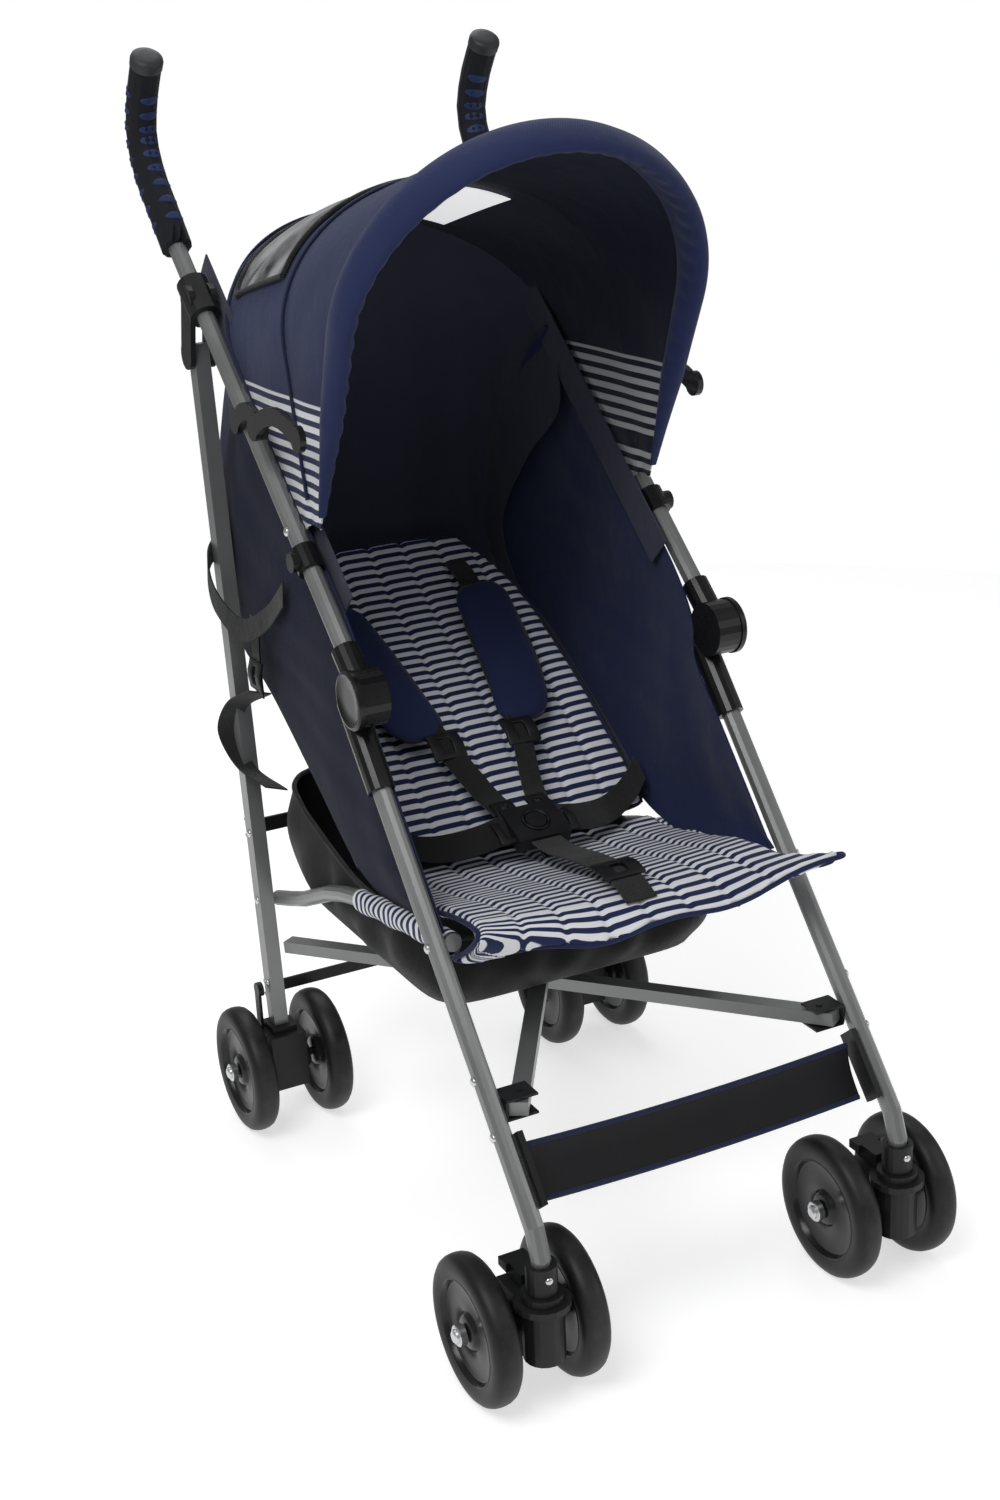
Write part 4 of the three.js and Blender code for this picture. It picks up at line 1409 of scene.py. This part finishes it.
# %% Wheels
WHEEL_OUTLINE = [
    (0.0102, 0.0044), (0.0102, 0.0125), (0.0086, 0.0150), (0.0062, 0.0165), (0.0052, 0.0180),
    (0.0052, 0.0300), (0.0056, 0.0400), (0.0066, 0.0425), (0.0102, 0.0440), (0.0116, 0.0452),
    (0.0112, 0.0462), (0.0118, 0.0480), (0.0128, 0.0520), (0.0127, 0.0560), (0.0113, 0.0600),
    (0.0086, 0.0630), (0.0050, 0.0645), (0.0016, 0.0650),
]


def wheel_shape():
    """A rounded foam tyre on a dished disc, spun about the axle."""
    near = WHEEL_OUTLINE
    outline = near + [(-height, radius) for height, radius in reversed(near)] + [near[0]]
    piece = turned("wheel", outline, (0, 0, 0), (1, 0, 0), 80)
    return smooth(piece, 40)


def make_wheels():
    """Eight wheels, each on its own hub."""
    pattern = wheel_shape()
    for end, finish in (("front", front_wheel_finish), ("rear", rear_wheel_finish)):
        for side in ("left", "right"):
            for place in ("outer", "inner"):
                name = f"{end}_wheel_{side}_{place}"
                body = f"wheel_{end}_{side}_{place}"
                axle = joints[f"{name}_spin"]["pos_m"]
                wheel = copy_to(pattern, f"tyre_and_disc_{end}_{side}_{place}", axle, body)
                wheel.data.materials.clear()
                wheel.data.materials.append(finish)
                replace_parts(wheel, name)
    bpy.data.objects.remove(pattern)


make_wheels()
print("wheels fitted")

# %% Axle bolts
BOLT_FACE = 0.0595


def make_bolts():
    """A domed bolt head on each outer hub, held by a small washer, and a cap on each inner one."""
    for end, body in (("front", "fork"), ("rear", "frame")):
        for sign, side in BOTH_SIDES:
            centre = Vector(joints[f"{end}_wheel_{side}_outer_spin"]["pos_m"])
            for face in (-1, 1):
                place = (sign * SIDE + face * BOLT_FACE, centre.y, centre.z)
                outline = [
                    (-0.006, 0.0), (-0.006, 0.0092), (-0.0002, 0.0092), (0.0006, 0.0084), (0.0006, 0.0064),
                    (0.0022, 0.0060), (0.0034, 0.0045), (0.0040, 0.0022), (0.0040, 0.0),
                ]
                name = f"axle_bolt_{end}_{side}_{'out' if face * sign > 0 else 'in'}"
                dress(turned(name, outline, place, (face, 0, 0), 28), zinc, f"{body}_{side}")


make_bolts()
print("bolts fitted")

# %% Grip caps and finger slots
GRIP_LINE = [GRIP_BASE, (0.331, 0.919), (0.361, 0.952), (0.3737, 0.987), (0.361, 1.022), (0.336, 1.056)]
GRIP_RADIUS = 0.015
grip_at = side_path(GRIP_LINE)


def grip_slots(side, sign):
    """Two rows of lens-shaped navy inlays in the foam, and a grey cap over the end."""
    rows = {"front": Vector((-sign * 0.25, -0.97, 0)), "outside": Vector((sign * 0.9, 0.45, 0))}
    for row, facing in rows.items():
        for step in range(9):
            t = 0.12 + 0.088 * step
            spot = grip_at(t)
            run = (grip_at(t + 0.02) - grip_at(t - 0.02)).normalized()
            face = (facing - run * facing.dot(run)).normalized()
            outline = [(-0.0014, 0.0), (-0.0014, 0.0072), (0.0002, 0.0068), (0.0006, 0.0050), (0.0002, 0.0)]
            piece = turned(f"grip_inlay_{side}_{row}_{step}", outline, (0, 0, 0), (0, 0, 1), 20)
            across = run.cross(face).normalized()
            for vertex in piece.data.vertices:
                flat = vertex.co.copy()
                wrap = 0.5 * (1.45 * flat.x) ** 2 / GRIP_RADIUS
                lift = GRIP_RADIUS + flat.z - wrap
                centre = Vector((sign * SIDE, spot.y, spot.z))
                vertex.co = centre + face * lift + across * flat.x * 1.45 + run * flat.y * 0.62
            piece.data.update()
            close_mesh(piece)
            dress(piece, grip_inlay, f"frame_{side}")
    end, run = grip_at(1.0), (grip_at(1.0) - grip_at(0.97)).normalized()
    outline = [
        (-0.007, 0.0), (-0.007, 0.0156), (0.0, 0.0158), (0.0025, 0.0150), (0.0042, 0.0128), (0.0050, 0.0080),
        (0.0050, 0.0),
    ]
    cap = turned(f"grip_cap_{side}", outline, (sign * SIDE, end.y, end.z), run, 36)
    dress(cap, grey_cap, f"frame_{side}")


grip_inlay = moulded_plastic("grip inlay", (0.012, 0.022, 0.085), 0.55, 0.3)
for sign, side in BOTH_SIDES:
    grip_slots(side, sign)
print("grips finished")

# %% Hub faces
def hub_face(side, sign):
    """The round cover of a folding hub: a raised ring about a shallow dished face."""
    low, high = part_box(f"hub_{side}")
    outer_x = low.x if sign < 0 else high.x
    outline = [
        (-0.003, 0.0), (-0.003, 0.0262), (0.0012, 0.0262), (0.0026, 0.0250), (0.0030, 0.0232),
        (0.0020, 0.0212), (0.0012, 0.0196), (0.0010, 0.0100), (0.0010, 0.0),
    ]
    piece = turned(f"hub_cover_{side}", outline, (outer_x, *HUB), (sign, 0, 0), 48)
    dress(piece, gloss_plastic, f"frame_{side}")


for sign, side in BOTH_SIDES:
    hub_face(side, sign)
print("hub faces fitted")

# %% Frame rivets
TUBE_FACE = 0.0083
SQUARE_LEG_FACE = 0.0073


def tube_rivets(side, sign):
    """The rivets that show on the outside of one side frame."""
    body = f"frame_{side}"
    spots = {
        "seat_front": (front_leg_y, 0.352), "leg_mid": (front_leg_y, 0.262),
        "foot_high": (front_leg_y, 0.225), "hub_low": (front_leg_y, 0.470),
        "tube_low": (push_tube_y, 0.572), "rear_mid": (rear_leg_y, 0.312),
        "rear_seat": (rear_leg_y, 0.240), "rear_low": (rear_leg_y, 0.150),
        "tube_clip": (push_tube_y, 0.660),
    }
    for name, (line, z) in spots.items():
        face = SIDE + (SQUARE_LEG_FACE if line is rear_leg_y else TUBE_FACE)
        rivet(f"rivet_{name}_{side}", (sign * face, line(z), z), (sign, 0, 0), body)
    collar_y, collar_z = -0.364, 0.128
    rivet(f"rivet_collar_{side}", (sign * SIDE, collar_y - 0.0132, collar_z), (0, -1, 0), body, 0.0036)


for sign, side in BOTH_SIDES:
    tube_rivets(side, sign)
print("rivets set")

# %% Bar brackets
def bar_bracket(side, sign, name, z):
    """A pressed clip that holds a cross bar's pin behind the rear leg."""
    leg = rear_leg_y(z) + 0.0085
    pin = joints[f"{name}_bar_{side}_turn"]["pos_m"][1]
    half = (0.006 if name == "low" else 0.0075) + 0.0004
    for level, edge in (("top", half), ("base", -half - 0.0016)):
        piece = cloth_grid(
            f"bar_clip_{name}_{side}_{level}", 12, 4, (0.02, 0.02),
            lambda u, v: Vector((
                sign * SIDE + (u - 0.5) * 0.013 * (1 - 0.25 * v ** 2),
                leg + (pin + 0.006 - leg) * v,
                z + edge + 0.0008,
            )),
        )
        apply_modifier(piece, "SOLIDIFY", thickness=0.0016, offset=0)
        dress(smooth(piece), zinc, f"frame_{side}")
    rivet(f"bar_pin_{name}_{side}", (sign * SIDE, pin, z + half + 0.0016), (0, 0, 1), f"frame_{side}", 0.0034)


for sign, side in BOTH_SIDES:
    bar_bracket(side, sign, "low", 0.137)
    bar_bracket(side, sign, "high", 0.312)
print("cross bars held")

# %% Seat tube sleeves
SEAT_TUBE = [(0.0, 0.318), (-0.060, 0.328), (-0.120, 0.338), (-0.192, 0.3495)]
SEAT_TUBE_X = 0.161


def sleeve(side, sign):
    """The striped cloth channel that wraps the front half of a seat tube."""
    at = along_path([(sign * SEAT_TUBE_X, y, z) for y, z in SEAT_TUBE])
    length = path_length(at)

    def place(u, v):
        turn = 2 * math.pi * u
        run = (at(min(1, v + 0.01)) - at(max(0, v - 0.01))).normalized()
        upward = Vector((1, 0, 0)).cross(run).normalized()
        ruck = 0.0008 * math.sin(19 * v) * math.cos(3 * turn)
        swell = 0.0092 + ruck + 0.003 * max(0.0, math.sin(turn)) ** 2
        return at(v) + Vector((1, 0, 0)) * swell * math.cos(turn) + upward * swell * math.sin(turn)

    piece = cloth_grid(f"seat_tube_sleeve_{side}", 28, 50, (0.06, length), place)
    close_mesh(piece, 0.0001)
    smooth(piece, 70)
    dress(piece, stripes_cloth, f"frame_{side}")


for sign, side in BOTH_SIDES:
    sleeve(side, sign)
print("seat tube sleeves sewn")

# %% Recline strap
def recline_strap(side, sign):
    """Webbing that lifts the sling: a loop round the rear leg with a side-release clip below it."""
    body = f"frame_{side}"
    x = sign * (SIDE + 0.004)
    leg = rear_leg_y
    loop = [
        (sign * 0.168, leg(0.60) + 0.050, 0.585), (sign * 0.176, leg(0.60) + 0.024, 0.600),
        (x + sign * 0.012, leg(0.60), 0.590), (x + sign * 0.016, leg(0.57) - 0.020, 0.560),
        (x + sign * 0.010, leg(0.56) - 0.070, 0.540), (x, leg(0.56) - 0.115, 0.560),
        (sign * 0.176, leg(0.58) - 0.150, 0.590),
    ]
    strap(f"recline_loop_{side}", loop, 0.022, (0.15, 0.2, 1), body, steps=70)
    tail = [
        (sign * 0.172, leg(0.56) - 0.055, 0.545), (sign * 0.178, leg(0.50) - 0.062, 0.510),
        (sign * 0.178, leg(0.46) - 0.060, 0.472),
    ]
    strap(f"recline_tail_{side}", tail, 0.020, (0, 1, 0.2), body)
    hang = [
        (sign * 0.178, leg(0.46) - 0.060, 0.474), (sign * 0.186, leg(0.45) - 0.012, 0.450),
        (sign * 0.190, leg(0.42) + 0.012, 0.415), (sign * 0.184, leg(0.39) - 0.012, 0.385),
        (sign * 0.172, leg(0.38) - 0.060, 0.375),
    ]
    strap(f"recline_hang_{side}", hang, 0.022, (0.85 * sign, 0.5, 0.15), body, steps=60)
    clip = slider(f"recline_clip_{side}", (0, 0, 0), 0, 0.030, body)
    facing = Vector((sign, 0, 0.05)).to_track_quat("Z", "Y").to_matrix().to_4x4()
    clip.data.transform(Matrix.Translation((sign * 0.181, leg(0.48) - 0.062, 0.492)) @ facing)


for sign, side in BOTH_SIDES:
    recline_strap(side, sign)
print("recline straps threaded")

# %% Buckle face
def buckle_details():
    """A moulded ring round the centre buckle's button, and the five tongues that plug into it."""
    low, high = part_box("buckle_button")
    top = (low + high) / 2
    outline = [
        (0.0, 0.0107), (0.0016, 0.0110), (0.0022, 0.0122), (0.0016, 0.0136), (0.0, 0.0140), (0.0, 0.0107),
    ]
    lean = math.radians(24)
    axis = Vector((0, -math.sin(lean), math.cos(lean)))
    ring = turned("buckle_ring", outline, top + axis * 0.0005, axis, 36)
    dress(ring, gloss_plastic, "sling")
    across = Vector((0, math.cos(lean), math.sin(lean)))
    tongues = {
        "left_high": (-0.018, 0.024), "right_high": (0.018, 0.024), "left_low": (-0.030, 0.0),
        "right_low": (0.030, 0.0), "front": (0.0, -0.026),
    }
    for name, (x, along) in tongues.items():
        centre = top + across * along + Vector((x, 0, 0)) - axis * 0.006
        tongue = slider(f"buckle_tongue_{name}", (0, 0, 0), 24, 0.022, "sling")
        tongue.data.transform(Matrix.Translation(centre))


buckle_details()
print("buckle finished")
